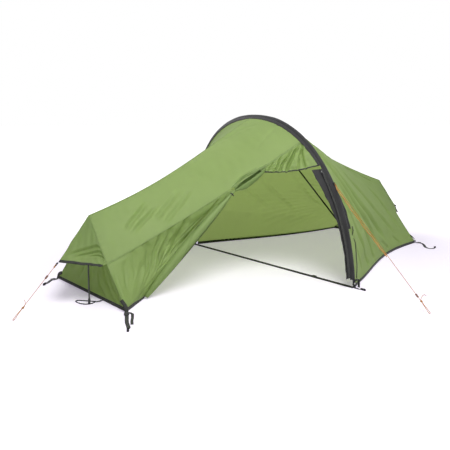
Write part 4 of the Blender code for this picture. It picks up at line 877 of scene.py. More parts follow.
farRight = {**farSide, "folds": farSide["folds"][:3]}
grids = {
    "flyNearRight": panelGrid(nearRight, True, 1, 11, nearRightFolds),
    "flyFarLeft": panelGrid(farSide, False, -1, 23, farFolds, fan=fly["fan"]),
    "flyFarRight": panelGrid(farRight, False, 1, 31, farFolds, fan=fly["fan"]),
    "roofNearLeft": panelGrid(roofNear, True, -1, 43, None, (0.0, fly["seamOnHoop"]),
                              (0.0, fly["seamOnEnd"])),
}


# the near wall between the end and the door roll, with folds that run up to the tie
sidePanel = {"size": (0.80, 0.52), "rows": 150, "cols": 120, "hollow": 0.030, "pleat": (0.003, 26.0),
             "tieGap": 0.028, "meet": 70.0, "wrap": (25.0, 150.0), "over": 22, "folds": [
    (0.0230, 0.024, [(0.935, 0.03), (0.915, 0.20), (0.925, 0.40), (0.955, 0.60)]),
    (0.0080, 0.012, [(0.865, 0.28), (0.875, 0.46), (0.905, 0.66)]),
    (0.0150, 0.014, [(0.93, 0.06), (0.86, 0.16), (0.81, 0.30), (0.80, 0.44)], True),
    (0.0150, 0.026, [(0.66, 0.05), (0.70, 0.25), (0.78, 0.48), (0.86, 0.70)], True),
    (0.0140, 0.022, [(0.523, 0.03), (0.577, 0.32), (0.698, 0.563), (0.80, 0.78)], True),
    (0.0115, 0.020, [(0.436, 0.03), (0.477, 0.336), (0.60, 0.60), (0.70, 0.80)], True),
    (0.0095, 0.022, [(0.309, 0.03), (0.40, 0.33), (0.517, 0.605), (0.60, 0.85)], True),
    (0.0065, 0.020, [(0.20, 0.04), (0.25, 0.35), (0.32, 0.65)], True),
    (0.0050, 0.022, [(0.13, 0.08), (0.145, 0.40), (0.165, 0.74)]),
    (0.0040, 0.012, [(0.955, 0.64), (0.88, 0.72), (0.78, 0.74)]),
    (0.0050, 0.020, [(0.90, 0.80), (0.78, 0.90), (0.60, 0.95)]),
    (0.0030, 0.012, [(0.03, 0.15), (0.03, 0.50), (0.05, 0.85)])]}


def sidePanelGrid(facts):
    s, v = shares(facts["rows"], facts["cols"])
    tieEnd = fly["tiePoint"] + facts["tieGap"]
    top = seamPoint(lerp(1.0, tieEnd, s))
    hemLeft = corner(-1, True) + (0.002, 0.002, fly["hemZ"])
    hemRight = behindRoll(0.0) * (1, 1, 0) + upward * fly["hemZ"]
    left = endEdge(lerp(fly["seamOnEnd"], 1.0, v), True, -1) - between(seamPoint(1.0), corner(-1, True), v)
    meet = math.radians(facts["meet"]) * smooth((v - 0.30) / 0.45)
    right = aroundRoll(1 - v, meet, roll["behindGap"]) - between(seamPoint(tieEnd), hemRight, v)
    right = right * (smooth(v * 7) * (1 - smooth(v * 12 - 11)))[..., None]
    deep, count = facts["pleat"]
    pleat = deep * np.sin(s * count) * within(s, 3, 5) * within(v, 4, 3)
    hollow = facts["hollow"] * np.sin(math.pi * s) * np.sin(math.pi * v)
    grid = between(top, between(hemLeft, hemRight, s), v) + left * (1 - s)[..., None] + right * s[..., None]
    grid = grid + xyz(0.0, hollow - pleat, 0.0)
    size = facts["size"]
    fade = smooth((1 - v) * size[1] / 0.03) * smooth(v * size[1] / 0.02) * smooth(s * size[0] / 0.015)
    lift = creased(s, v, size, facts["folds"]) * fade + slack(s, v, size, 57, 0.0016, 0.0005)
    grid = lifted(grid, lift * flatAtHem(v))
    # past the roll the cloth runs on over its outer turn
    v = v[-1]
    start, reach = meet[-1], np.radians(lerp(*facts["wrap"], smooth((v - 0.25) / 0.5)))
    miss = grid[-1] - aroundRoll(1 - v, start, roll["behindGap"])
    over = [aroundRoll(1 - v, start + reach * w, lerp(roll["behindGap"], 0.0010, w)) + miss * (1 - w) ** 2
            for w in np.linspace(0, 1, facts["over"])]
    return grid, np.array(over)


# the slack triangle over the doorway
gusset = {"size": (0.36, 0.17), "rows": 140, "cols": 64, "lowEnd": (0.004, -0.006, -0.018), "droop": 0.016,
          "ripple": 0.004, "folds": [
    (0.0210, 0.011, [(0.05, 0.02), (0.20, 0.14), (0.375, 0.36), (0.49, 0.68), (0.57, 1.0)], True, True),
    (0.0130, 0.009, [(0.06, 0.10), (0.15, 0.35), (0.21, 0.70), (0.24, 1.0)], True, True),
    (0.0150, 0.010, [(0.30, 0.06), (0.47, 0.30), (0.63, 0.65), (0.70, 1.0)], True, True),
    (0.0120, 0.009, [(0.52, 0.02), (0.66, 0.40), (0.80, 1.0)], True, True),
    (0.0090, 0.008, [(0.12, 0.26), (0.28, 0.58), (0.39, 1.0)], True, True),
    (0.0080, 0.008, [(0.72, 0.05), (0.81, 0.40), (0.89, 0.90)], True, True)]}


def gussetLow(u):
    hoopEnd = hoopEdge(np.asarray(fly["doorTopOnHoop"]), True, -1)
    lowEnd = seamPoint(fly["foldEnd"]) + gusset["lowEnd"]
    return between(hoopEnd, lowEnd, u) + xyz(0.0, 0.0, -gusset["droop"] * np.sin(math.pi * u))


def gussetGrid(facts):
    u, v = shares(facts["rows"], facts["cols"])
    top = seamPoint(u * fly["foldEnd"])
    start = hoopEdge(lerp(fly["seamOnHoop"], fly["doorTopOnHoop"], v), True, -1)
    start = start - between(start[0, 0], start[0, -1], v)
    ripple = facts["ripple"] * np.sin(u * 19.0 + 2.0 * v) * smooth(v * 3) * within(u, 5, 4)
    grid = between(top, gussetLow(u), v) + start * (1 - u)[..., None] + xyz(0.0, -ripple, 0.0)
    size = facts["size"]
    lift = creased(u, v, size, facts["folds"]) * smooth(v * 5) * within(u, 12, 9)
    lift = lift + 0.0016 * swell(u * size[0], v * size[1], 0.07, 71) * edgeFade(u, v, size, 0.02)
    return lifted(grid, lift * (1 - 0.5 * smooth((v - 0.8) * 5)))


grids["sideNearLeft"], rollCover = sidePanelGrid(sidePanel)
grids["doorGusset"] = gussetGrid(gusset)
print("cloth panels shaped,", sum(g.shape[0] * g.shape[1] for g in grids.values()), "points")


# stitches, one tree for each thread
def newTree(name, sizes):
    tree = bpy.data.node_groups.new(name, "GeometryNodeTree")
    tree.interface.new_socket("Geometry", in_out="INPUT", socket_type="NodeSocketGeometry")
    for label, value in sizes.items():
        tree.interface.new_socket(label, in_out="INPUT", socket_type="NodeSocketFloat").default_value = value
    tree.interface.new_socket("Geometry", in_out="OUTPUT", socket_type="NodeSocketGeometry")
    return tree, tree.nodes.new("NodeGroupInput").outputs


def followTree(name, sizes, shape, finish):
    # puts the shape along every line of a wire mesh, its z along the line
    tree, given = newTree(name, sizes)
    curve = addNode(tree, "GeometryNodeMeshToCurve", {0: given["Geometry"]})
    points = addNode(tree, "GeometryNodeCurveToPoints", {0: curve.outputs[0], "Length": given["spacing"]},
                     mode="LENGTH")
    copies = addNode(tree, "GeometryNodeInstanceOnPoints", {0: points.outputs[0],
                     "Instance": shape(tree, given), "Rotation": points.outputs["Rotation"]})
    real = addNode(tree, "GeometryNodeRealizeInstances", {0: copies.outputs[0]})
    coloured = addNode(tree, "GeometryNodeSetMaterial", {0: real.outputs[0], "Material": finishes[finish]})
    tree.links.new(coloured.outputs[0], tree.nodes.new("NodeGroupOutput").inputs[0])
    return tree


def stitchShape(tree, given):
    ball = addNode(tree, "GeometryNodeMeshUVSphere", {"Segments": 5, "Rings": 4, "Radius": 0.5})
    thick, long = given["thickness"], given["length"]
    size = addNode(tree, "ShaderNodeCombineXYZ", {0: thick, 1: thick, 2: long})
    return addNode(tree, "GeometryNodeTransform", {0: ball.outputs[0], "Scale": size.outputs[0]}).outputs[0]


stitch = {"spacing": 0.0052, "length": 0.0036, "thickness": 0.00075}
stitchTrees = {finish: followTree("stitches." + finish, stitch, stitchShape, finish)
               for finish in ("greenThread", "blackThread")}


def grownPiece(name, lines, tree, sizes):
    # wire lines, the tree grown on them, and its result kept as a plain mesh
    points, edges = [], []
    for line in lines:
        edges += [(len(points) + k, len(points) + k + 1) for k in range(len(line) - 1)]
        points += np.asarray(line).tolist()
    wire = bpy.data.meshes.new(name + ".wire")
    wire.from_pydata(points, edges, [])
    carrier = bpy.data.objects.new(name + ".wire", wire)
    bpy.context.collection.objects.link(carrier)
    grow = carrier.modifiers.new("grow", "NODES")
    grow.node_group = tree
    for item in tree.interface.items_tree:
        if item.in_out == "INPUT" and item.name in sizes:
            grow[item.identifier] = sizes[item.name]
    mesh = bpy.data.meshes.new_from_object(carrier.evaluated_get(bpy.context.evaluated_depsgraph_get()))
    bpy.data.objects.remove(carrier, do_unlink=True)
    mesh.name = name
    mesh.shade_smooth()
    made = bpy.data.objects.new(name, mesh)
    bpy.context.collection.objects.link(made)
    return made


def stitchRows(piece, lines, slot, finish="blackThread"):
    return sewIn(grownPiece(piece + ".stitches", lines, stitchTrees[finish], stitch), slot)


# seams: a folded strip over each join, with two rows of stitches
seam = {"half": 0.0062, "lift": 0.0007, "thickness": 0.0009, "rows": (-0.0034, 0.0034), "round": 0.55,
        "piping": 0.0050}


def seamStrip(name, line, towardA, towardB, normal, finish="fly", half=seam["half"], slot="fly_cloth"):
    def beside(place, proud):
        return line + (towardA if place < 0 else towardB) * abs(place) + normal * proud

    grid = np.stack([beside(w * half, seam["lift"] * (1 - seam["round"] * abs(w) ** 3))
                     for w in np.linspace(-1, 1, 7)], axis=1)
    middle = len(grid) // 2
    strip = clothObject(name, grid, finish, grid[middle, 3] - normal[middle], seam["thickness"])
    rows = [beside(place, seam["lift"])[3:-3] for place in seam["rows"]]
    thread = "greenThread" if finish == "fly" else "blackThread"
    return sewIn(strip, slot), stitchRows(name, rows, slot, thread)


def edgeLine(grid, edge):
    # a grid's edge, with the directions along the cloth away from it and out of it
    grid = np.asarray(grid)
    rows = {"start": grid, "end": grid[::-1], "left": grid.transpose(1, 0, 2),
            "right": grid[:, ::-1].transpose(1, 0, 2)}[edge]
    return rows[0], unit(rows[2] - rows[0])


def outwards(line, towardA, towardB, inside=tentMiddle):
    normal = unit(np.cross(np.gradient(line, axis=0), towardB - towardA))
    flip = np.sign(((line - inside) * normal).sum(-1))
    return normal * flip[:, None]


def seamBetween(name, gridA, edgeA, gridB, edgeB, **more):
    line, towardA = edgeLine(gridA, edgeA)
    other, towardB = edgeLine(gridB, edgeB)
    if np.linalg.norm(other[0] - line[0]) > np.linalg.norm(other[-1] - line[0]):
        towardB = towardB[::-1]
    if len(towardB) != len(line):
        towardB = unit(readOff(np.linspace(0, 1, len(line)), np.linspace(0, 1, len(towardB)), towardB))
    return seamStrip(name, line, towardA, towardB, outwards(line, towardA, towardB), **more)


endWall = {"rows": 90, "cols": 100, "size": (0.45, 0.80), "top": 0.010, "proud": 0.0012, "belly": 0.014,
           "wave": (0.004, 17.0), "folds": [
    (0.0050, 0.016, [(0.10, 0.5), (0.45, 0.42), (0.95, 0.30)]),
    (0.0050, 0.016, [(0.12, 0.52), (0.5, 0.6), (0.95, 0.72)]),
    (0.0040, 0.014, [(0.30, 0.50), (0.95, 0.50)]),
    (0.0040, 0.014, [(0.92, 0.04), (0.80, 0.20), (0.60, 0.32)]),
    (0.0100, 0.016, [(0.60, 0.07), (0.75, 0.09), (0.97, 0.05)], True, True),
    (0.0100, 0.020, [(0.62, 0.19), (0.80, 0.20), (0.97, 0.14)], True, True),
    (0.0080, 0.018, [(0.70, 0.34), (0.85, 0.33), (0.98, 0.26)], True, True)]}


def endWallGrid(facts, side, seed):
    r, c = shares(facts["rows"], facts["cols"])
    share = lerp(facts["top"], 1.0 - fly["hemZ"] / fly["peakLeft"][2], r)
    grid = between(endEdge(share, True, side), endEdge(share, False, side), c)
    height, count = facts["wave"]
    fold = height * np.sin(c * count) * np.sin(math.pi * c) * within(r, 2, 4)
    belly = facts["belly"] * np.sin(math.pi * c) * np.sin(math.pi * r)
    grid = grid - xyz(side * (facts["proud"] + belly + fold), 0.0, 0.0)
    size = facts["size"]
    lift = creased(r, c, size, facts["folds"]) + 0.0018 * swell(r * size[0], c * size[1], 0.13, seed)
    return lifted(grid, lift * edgeFade(r, c, size, 0.03) * smooth(r * 4))


grids["endWallLeft"] = endWallGrid(endWall, -1, 83)
grids["endWallRight"] = endWallGrid(endWall, 1, 89)


# hoods over the end vents
hoodCloth = {"rows": 150, "cols": 60, "size": (0.62, 0.19), "lift": 0.0035, "backShare": 0.35,
             "backRise": 0.001, "proud": {-1: 5, 1: 3}, "fall": 0.010, "ripple": 0.001,
             "binding": {"width": 0.0155, "height": 0.0024, "reach": 0.0062, "stitchAt": 0.0045}, "folds": {
    -1: [(0.0088, 0.012, [(0.450, 0.90), (0.308, 0.558), (0.167, 0.0)], False, True),
         (0.0096, 0.012, [(0.383, 0.925), (0.233, 0.55), (0.108, 0.0)], False, True),
         (0.0080, 0.011, [(0.283, 0.825), (0.133, 0.358), (0.058, 0.0)], False, True),
         (0.0064, 0.012, [(0.56, 0.88), (0.70, 0.50), (0.86, 0.0)], False, True)],
    1: [(0.0080, 0.012, [(0.55, 0.90), (0.69, 0.56), (0.83, 0.0)], False, True),
        (0.0080, 0.012, [(0.44, 0.88), (0.30, 0.52), (0.15, 0.0)], False, True),
        (0.0064, 0.011, [(0.32, 0.82), (0.18, 0.40), (0.07, 0.0)], False, True)]}}


def hoodPoint(side, u, v):
    u, v = np.broadcast_arrays(np.asarray(u, float), np.asarray(v, float))
    out = np.array((side * hoodCloth["lift"], 0.0, 0.0))
    nearSide = (u < 0.5)[..., None]
    # its sewn edge follows the hollow of the end's edge
    share = np.where(u < 0.5, fly["seamOnEnd"] * (1 - u * 2), hood["farShare"] * (u * 2 - 1))
    back = np.where(nearSide, endEdge(share, True, side), endEdge(share, False, side))
    back = back + out * hoodCloth["backShare"] + upward * hoodCloth["backRise"]
    tip = peak(side) + (side * hood["reach"], hood["aside"], -hood["drop"])
    proud = out * hoodCloth["proud"][side]
    near, far = endEdge(fly["seamOnEnd"], True, side) + proud, endEdge(hood["farShare"], False, side) + proud
    front = np.where(nearSide, between(near, tip, np.clip(u * 2, 0, 1)),
                     between(tip, far, np.clip(u * 2 - 1, 0, 1)))
    wing = np.abs(np.sin(math.tau * u)) * v
    fall = hoodCloth["fall"] * np.sin(math.pi * lerp(0.25, 1.0, v)) + hoodCloth["ripple"] * np.sin(u * 31.0)
    return between(back, front, v) - xyz(0.0, 0.0, fall * wing)


def makeHood(side, word):
    u, v = shares(hoodCloth["rows"], hoodCloth["cols"])
    under = peak(side) + (side * 0.05, 0.0, -0.25)
    size = hoodCloth["size"]
    besideTip = np.minimum(1.0, np.abs(u - 0.5) * 14)
    lift = creased(u, v, size, hoodCloth["folds"][side]) * smooth(v * 8) * besideTip
    lift = lift + 0.0011 * swell(u * size[0], v * size[1], 0.08, 97 + side) * edgeFade(u, v, size, 0.02)
    grid = lifted(hoodPoint(side, u, v), lift, under)
    cloth = clothObject("hood." + word, grid, "flyEndShade", under)
    binding = hoodCloth["binding"]
    edge, height = grid[:, -1], binding["height"]
    outward = unit(edge - grid[:, -4])
    ups = unit(np.cross(np.gradient(edge, axis=0), outward))
    ups = ups * np.sign(ups[:, 2:])
    outline = tapeOutline(binding["width"], height, -height / 2 - 0.0004)
    tape = sweepTube("hoodBinding." + word, edge + outward * binding["reach"], ups, outline, "greyTape")
    face = edge + outward * binding["reach"] + ups * (height / 2 - 0.0003)
    rows = [(face + outward * s * binding["stitchAt"])[3:-3] for s in (-1, 1)]
    sewn = stitchRows("hoodBinding." + word, rows, "edge_tape")
    sewIn(cloth, "fly_cloth", "hood_" + word.lower())
    sewIn(tape, "edge_tape", "hood_binding_" + word.lower())


# every panel: the solid that it stands for, its finish, how it is held and what it rests on
panels = {
    "flyNearRight": ("fly_panel_near_right", "flyShade", "stretched", "pole_sleeve"),
    "flyFarLeft": ("fly_panel_far_left", "fly", "stretched", "pole_sleeve"),
    "flyFarRight": ("fly_panel_far_right", "fly", "stretched", "pole_sleeve"),
    "roofNearLeft": ("roof_panel_near_left", "fly", "stretched", "pole_sleeve"),
    "sideNearLeft": ("side_panel_near_left", "fly", "gathered", "pole_sleeve"),
    "doorGusset": ("door_gusset", "flyShade", "gathered", "pole_sleeve"),
    "endWallLeft": ("end_wall_left", "flyEndShade", "hung", "end_pole_cap_left"),
    "endWallRight": ("end_wall_right", "flyEndShade", "hung", "end_pole_cap_right"),
}


def makePanels():
    roof, right = grids["roofNearLeft"], grids["flyNearRight"]
    seams = {
        "flyNearRight": seamBetween("ridgeSeam.right", right, "left", grids["flyFarRight"], "left"),
        "roofNearLeft": seamBetween("ridgeSeam.left", roof, "left", grids["flyFarLeft"], "left"),
        "sideNearLeft": seamBetween("roofSeam.side", grids["sideNearLeft"], "left",
                                    roof[roofNear["sideFrom"]:], "right"),
        "doorGusset": seamBetween("roofSeam.gusset", grids["doorGusset"], "left",
                                  roof[:roofNear["gussetTo"]], "right")}
    cover = clothObject("doorRollCover", rollCover, "flyRolledShade", inside=rollCentre(0.5))
    seams["sideNearLeft"] += (sewIn(cover, "fly_cloth"),)
    for name, (node, finish, held, carrier) in panels.items():
        cloth = sewIn(clothObject(name, grids[name], finish), "fly_cloth", node)


def makePiping():  # narrow piping down both sloping edges of each end
    left, right, half = grids["endWallLeft"], grids["endWallRight"], seam["piping"]
    split = int(len(left) * fly["seamOnEnd"])
    seamBetween("endSeam.far.left", grids["flyFarLeft"], "end", left, "right", half=half)
    seamBetween("endSeam.near.top", grids["roofNearLeft"], "end", left[:split + 1], "left", half=half)
    seamBetween("endSeam.near.low", grids["sideNearLeft"], "start", left[split:], "left", half=half)
    seamBetween("endSeam.far.right", grids["flyFarRight"], "end", right, "right", half=half)
    seamBetween("endSeam.near.right", grids["flyNearRight"], "end", right, "left", half=half)


makePanels()
makeHood(-1, "Left")
makeHood(1, "Right")
makePiping()
print("cloth sewn,", len(panels) + 2, "panels")


# the sleeve over the hoop pole, a closed channel of doubled cloth with small gathers across it
sleeveCloth = {"stations": 420, "gather": 0.00055, "pitch": 0.019, "stitchAt": (0.0165, 0.0195),
               "crownLine": [(0.0, 0.0100), (0.0045, 0.0094), (0.009, 0.0074), (0.012, 0.0034),
                             (0.015, -0.0012), (0.018, -0.0044), (0.021, -0.0058)],
               "cutWidth": 0.100, "boreShare": 0.62, "cloth": 0.0016, "under": 0.0010,
               "stitchLift": 0.0002, "flangeLift": (0.0024, 0.0016),
               "flange": {"roofNearLeft": (0.028, 0.019), "flyFarLeft": (0.028, 0.034),
                          "doorGusset": (0.019, 0.012)}}


def sleeveTop(x):  # height of its crown at a distance x across
    return np.interp(np.abs(x), *zip(*sleeveCloth["crownLine"]))


def makeSleeve():
    start, end = runAtHeight(sleeve["footZ"]), runAtHeight(sleeve["footZ"], False)
    runs = np.linspace(start, end, sleeveCloth["stations"])
    w, share = sleeve["halfWidth"], sleeveCloth["boreShare"]
    over, under = np.linspace(w, -w, 21), np.linspace(-w, w, 9)[1:-1]
    x = np.concatenate((over, under))
    y = np.concatenate((sleeveTop(over), np.full(len(under), sleeve["floor"])))
    boreTop = sleeveTop(over * share) - sleeveCloth["cloth"]
    boreFloor = sleeve["floor"] + sleeveCloth["under"]
    bore = np.stack((x * share, np.concatenate((boreTop, np.full(len(under), boreFloor)))), axis=1)
    run, across = runs[:, None], x[None, :]
    flank = np.exp(-((np.abs(across) - 0.0135) / 0.0045) ** 2) * (np.arange(len(x)) < len(over))[None, :]
    wave = np.sin(run * math.tau / sleeveCloth["pitch"] + 3.0 * swell(run, 0 * run, 0.5, 101) + across * 90)
    broad = 0.0005 * swell(run, across * 4, 0.16, 103) * (np.abs(across) < 0.012)
    rise = sleeveCloth["gather"] * wave * flank + np.maximum(broad, -0.0006)
    outline = np.stack((np.broadcast_to(across, rise.shape), y[None] + rise), axis=-1)
    channel = sweepTube("poleSleeve", onHoop(runs), hoopOut(runs), outline, "blackCloth", bore=bore)
    rows = [hoopAt(runs[2:-2], float(sleeveTop(at)) + sleeveCloth["stitchLift"], side * at)
            for at in sleeveCloth["stitchAt"] for side in (-1, 1)]
    trims = [stitchRows("poleSleeve", rows, "black_cloth")]
    sewIn(channel, "black_cloth", "pole_sleeve")
    for word, widths in sleeveCloth["flange"].items():
        trims += makeFlange(word, widths)


def makeFlange(word, widths):
    # the sleeve's sewn edge, laid flat on the panel beside it, widths at the panel's first and last row
    grid = grids[word]
    start, away = grid[0], unit(grid[4] - grid[0])
    up = outwards(start, away, -away)
    w = np.linspace(0, 1, 6)[:, None, None]
    width = np.linspace(*widths, len(start))[:, None]
    strip = start + away * width * w + up * lerp(*sleeveCloth["flangeLift"], w)
    made = sewIn(clothObject("sleeveFlange." + word, strip, "blackCloth"), "black_cloth")
    row = strip[4] + up * 0.0004
    return made, stitchRows("sleeveFlange." + word, [row[2:-2]], "black_cloth")


# black flaps and the zip beside the near leg, on the leg's own arc
zipSide = {"foot": 0.060, "top": 0.690, "plane": -0.0015, "tapeEdge": -0.0247, "teeth": -0.0417, "end": 0.004,
           "tape": 0.0008, "core": 0.0010, "coreAt": 0.0017, "coilAt": 0.0015, "tapeFrom": 0.0020}


def legArc():
    heights = (zipSide["foot"], (zipSide["foot"] + zipSide["top"]) / 2, zipSide["top"])
    spots = [hoopAt(np.asarray(runAtHeight(z)), zipSide["plane"]) for z in heights]
    (y1, s1), (y2, s2), (y3, s3) = [(p[1], p @ hoopUp) for p in spots]
    a = np.array(((2 * (y2 - y1), 2 * (s2 - s1)), (2 * (y3 - y1), 2 * (s3 - s1))))
    b = np.array((y2 ** 2 + s2 ** 2 - y1 ** 2 - s1 ** 2, y3 ** 2 + s3 ** 2 - y1 ** 2 - s1 ** 2))
    yc, sc = np.linalg.solve(a, b)
    centre = np.array((0.0, yc, 0.0)) + hoopUp * sc
    return centre, math.hypot(y1 - yc, s1 - sc), math.atan2(s1 - sc, yc - y1), math.atan2(s3 - sc, yc - y3)


legCentre, legRadius, legFoot, legTop = legArc()


def legOut(angle):
    return xyz(0.0, -np.cos(angle), 0.0) + hoopUp * np.sin(angle)[..., None]


def legAt(angle, outward=0.0, across=0.0):
    angle = np.asarray(angle, float)
    reach = legRadius + np.asarray(outward, float)
    return legCentre + legOut(angle) * reach[..., None] + hoopAcross * np.asarray(across, float)[..., None]


def makeFlap(name, node, grid, out, columns):
    flap = sewIn(clothObject(name, grid, "blackCloth"), "black_cloth", node)
    sewn = stitchRows(name, [(grid[:, k] + out * 0.0003)[3:-3] for k in columns], "black_cloth")


zipFlap = {"width": 0.034, "edge": -0.0132, "sunk": 0.0050, "overlap": 0.009, "flare": (0.90, 2.45),
           "wave": 0.0016, "ripple": 0.0009}


def makeZipFlap():
    t, w = shares(200, 16)
    angle = lerp(legFoot, legTop, t)
    free = zipFlap["width"] * lerp(*zipFlap["flare"], smooth((t - 0.36) / 0.64))
    wave = zipFlap["wave"] * np.sin(t * 31.0 + 1.5 * np.sin(t * 9.0)) * w ** 2
    wave = wave + zipFlap["ripple"] * np.sin(t * 67.0) * w
    grid = legAt(angle, zipSide["plane"] - zipFlap["sunk"] + wave - 0.0006 * w,
                 zipFlap["edge"] - (free + zipFlap["overlap"]) * w)
    makeFlap("zipFlap", "door_zip_flap", grid, legOut(angle[:, 0]), (2, 13))


sleeveFlap = {"heights": (0.340, 0.575), "width": 0.026, "edge": 0.011, "ripple": 0.0012,
              "drape": [(0.009, 0.0088), (0.015, 0.0022), (0.021, -0.0026), (0.028, -0.0022),
                        (0.040, -0.0008)]}


def makeSleeveFlap():
    low, high = (runAtHeight(z) for z in sleeveFlap["heights"])
    t, w = shares(110, 14)
    width = sleeveFlap["width"] * (0.35 + 0.65 * smooth((1 - t) * 1.6))
    run = lerp(low, high, t)
    place = sleeveFlap["edge"] + (width + 0.001) * w
    drape = np.interp(place, *zip(*sleeveFlap["drape"]))
    drape = drape + sleeveFlap["ripple"] * np.sin(t * 17.0 + 0.6) * w ** 2
    makeFlap("sleeveFlap", "sleeve_flap", hoopAt(run, drape, place), hoopOut(run[:, 0]), (1, 12))


def toothShape(tree, given):
    size = addNode(tree, "ShaderNodeCombineXYZ", {0: given["width"], 1: given["height"], 2: given["length"]})
    return addNode(tree, "GeometryNodeMeshCube", {"Size": size.outputs[0]}).outputs[0]


zipTeeth = {"spacing": 0.0021, "width": 0.0030, "height": 0.0024, "length": 0.0012}
toothTree = followTree("zipTeeth", zipTeeth, toothShape, "zipTeeth")


def makeZip():
    angles = np.linspace(legFoot + zipSide["end"], legTop - zipSide["end"], 260)
    plane, bead, edge = zipSide["plane"], zipSide["teeth"], zipSide["tapeEdge"]
    inner, thick = bead + zipSide["tapeFrom"], zipSide["tape"]
    tape = sweepTube("zipTape", legAt(angles, plane, (inner + edge) / 2), legOut(angles),
                     tapeOutline(edge - inner, thick, -thick / 2), "greyTape")
    core = sweepTube("zipCord", legAt(angles, plane, bead + zipSide["coreAt"]), legOut(angles),
                     roundOutline(zipSide["core"], 8), "zipTeeth")
    teeth = grownPiece("zipCoil", [legAt(angles, plane, bead + zipSide["coilAt"])], toothTree, zipTeeth)
    sewIn(tape, "zip_tape", "zip_tape")
    sewIn(core, "zip_tape")
    sewIn(teeth, "zip_tape")
    stitchRows("zipTape", [legAt(angles[3:-3], plane + 0.0005, edge - 0.0035)], "zip_tape")


legTape = {"rows": (4, 9), "spread": (0.04, 0.24), "heights": (0.045, 0.35), "lift": 0.0018, "width": 0.009,
           "thickness": 0.0012}


def makeLegTape():
    # a narrow tape on the near panel from the outer flap down to the foot, further from the hoop higher up
    sheet = grids["flyNearRight"]
    first, (low, high) = legTape["rows"][0], legTape["spread"]
    at = lerp(*legTape["rows"], smooth((sheet[first, :, 2] - low) / (high - low)))
    below, column = at.astype(int), np.arange(sheet.shape[1])
    line = lerp(sheet[below, column], sheet[below + 1, column], (at - below)[:, None])
    bottom, top = legTape["heights"]
    line = line[(line[:, 2] > bottom) & (line[:, 2] < top)]
    away = np.broadcast_to(unit(sheet[first, 0] - sheet[0, 0]), line.shape)
    up = outwards(line, away, -away)
    outline = tapeOutline(legTape["width"], legTape["thickness"])
    sewIn(sweepTube("legTape", line + up * legTape["lift"], up, outline, "greyTape"), "edge_tape")


makeSleeve()
makeZipFlap()
makeSleeveFlap()
makeZip()
makeLegTape()
print("sleeve, flaps and zip made")


# the door, rolled up from the ground to its tie, wound as one sheet
rollCloth = {"turns": 8.0, "pitch": 0.100, "stations": 110, "steps": 26, "thickness": 0.00045, "lip": 0.05,
             "lipWander": 0.12, "cut": (1.20, 0.79), "cutArea": 0.63, "hem": 0.011, "hemLift": 0.0007,
             "hemEnd": 0.985, "dents": (0.03, 0.025, 0.012), "ridges": (0.016, 0.012)}


def rollPoint(t, phi):  # phi counts back from the proud lip, in radians
    t, phi = np.broadcast_arrays(np.asarray(t, float), np.asarray(phi, float))
    along = unit(rollCentre(t + 0.01) - rollCentre(t - 0.01))
    side = unit(np.cross(along, np.broadcast_to((0.0, -0.6, 0.8), along.shape)))
    up = unit(np.cross(side, along))
    a = rollCloth["lip"] + rollCloth["lipWander"] * np.sin(5 * t) - phi
    layer = 1 - rollCloth["pitch"] * phi / math.tau
    (flat, broad, fine), (long, short) = rollCloth["dents"], rollCloth["ridges"]
    dent = flat * np.sin(3 * a + 7 * t) ** 2 + broad * np.sin(2 * a + 9 * t + 1.0)
    dent = dent + fine * np.sin(5 * a - 13 * t)
    ridge = long * np.sin(7 * a + 4.0 * np.sin(5 * t)) * smooth(t * 6)
    ridge = ridge + short * np.sin(math.tau * t * 4 + a * 2)
    r = rollRadius(t) * layer * (1.0 - np.abs(dent) - np.abs(ridge) * 0.9)
    return rollCentre(t) + side * (r * np.cos(a))[..., None] + up * (r * np.sin(a))[..., None]


def makeRoll():
    facts, middle = rollCloth, rollCentre(0.5)
    turns = np.linspace(0, facts["turns"] * math.tau, int(facts["turns"] * facts["steps"]))
    grid = rollPoint(*np.meshgrid(np.linspace(0.0, 1.0, facts["stations"]), turns, indexing="ij"))
    cloth = clothObject("doorRoll", grid, "flyRolledShade", middle, facts["thickness"])
    sewIn(cloth, "fly_cloth", "door_roll")
    # the dark hem that ends the outer turn, with its stitches
    t, w = shares(170, 7)
    t = lerp(0.0, facts["hemEnd"], t)
    hem = rollPoint(t, facts["hem"] / rollRadius(t) * w)
    out = unit(hem - rollCentre(t))
    hem = hem + out * (facts["hemLift"] + 0.0004 * np.sin(t * 60))[..., None]
    tape = sewIn(clothObject("doorHem", hem, "hemTape", middle, facts["hemLift"]), "edge_tape")
    sewn = stitchRows("doorHem", [(hem + out * 0.0003)[3:-3, k] for k in (2, 5)], "edge_tape")
    return gridArea(grid)


# the gathered cloth between the tie and the slack triangle: it hangs from the seam and turns back up,
# so the light falls into a dark hollow. Its cloth is also painted a dark green as shadow
foldCloth = {"rows": 110, "cols": 64, "tall": (0.0330, 0.0225), "wide": (0.0240, 0.0180), "droop": 0.006,
             "ends": (-0.003, -0.022), "under": (0.004, -0.006, -0.0190), "turn": (0.50, 2.20),
             "thickness": 0.0006}


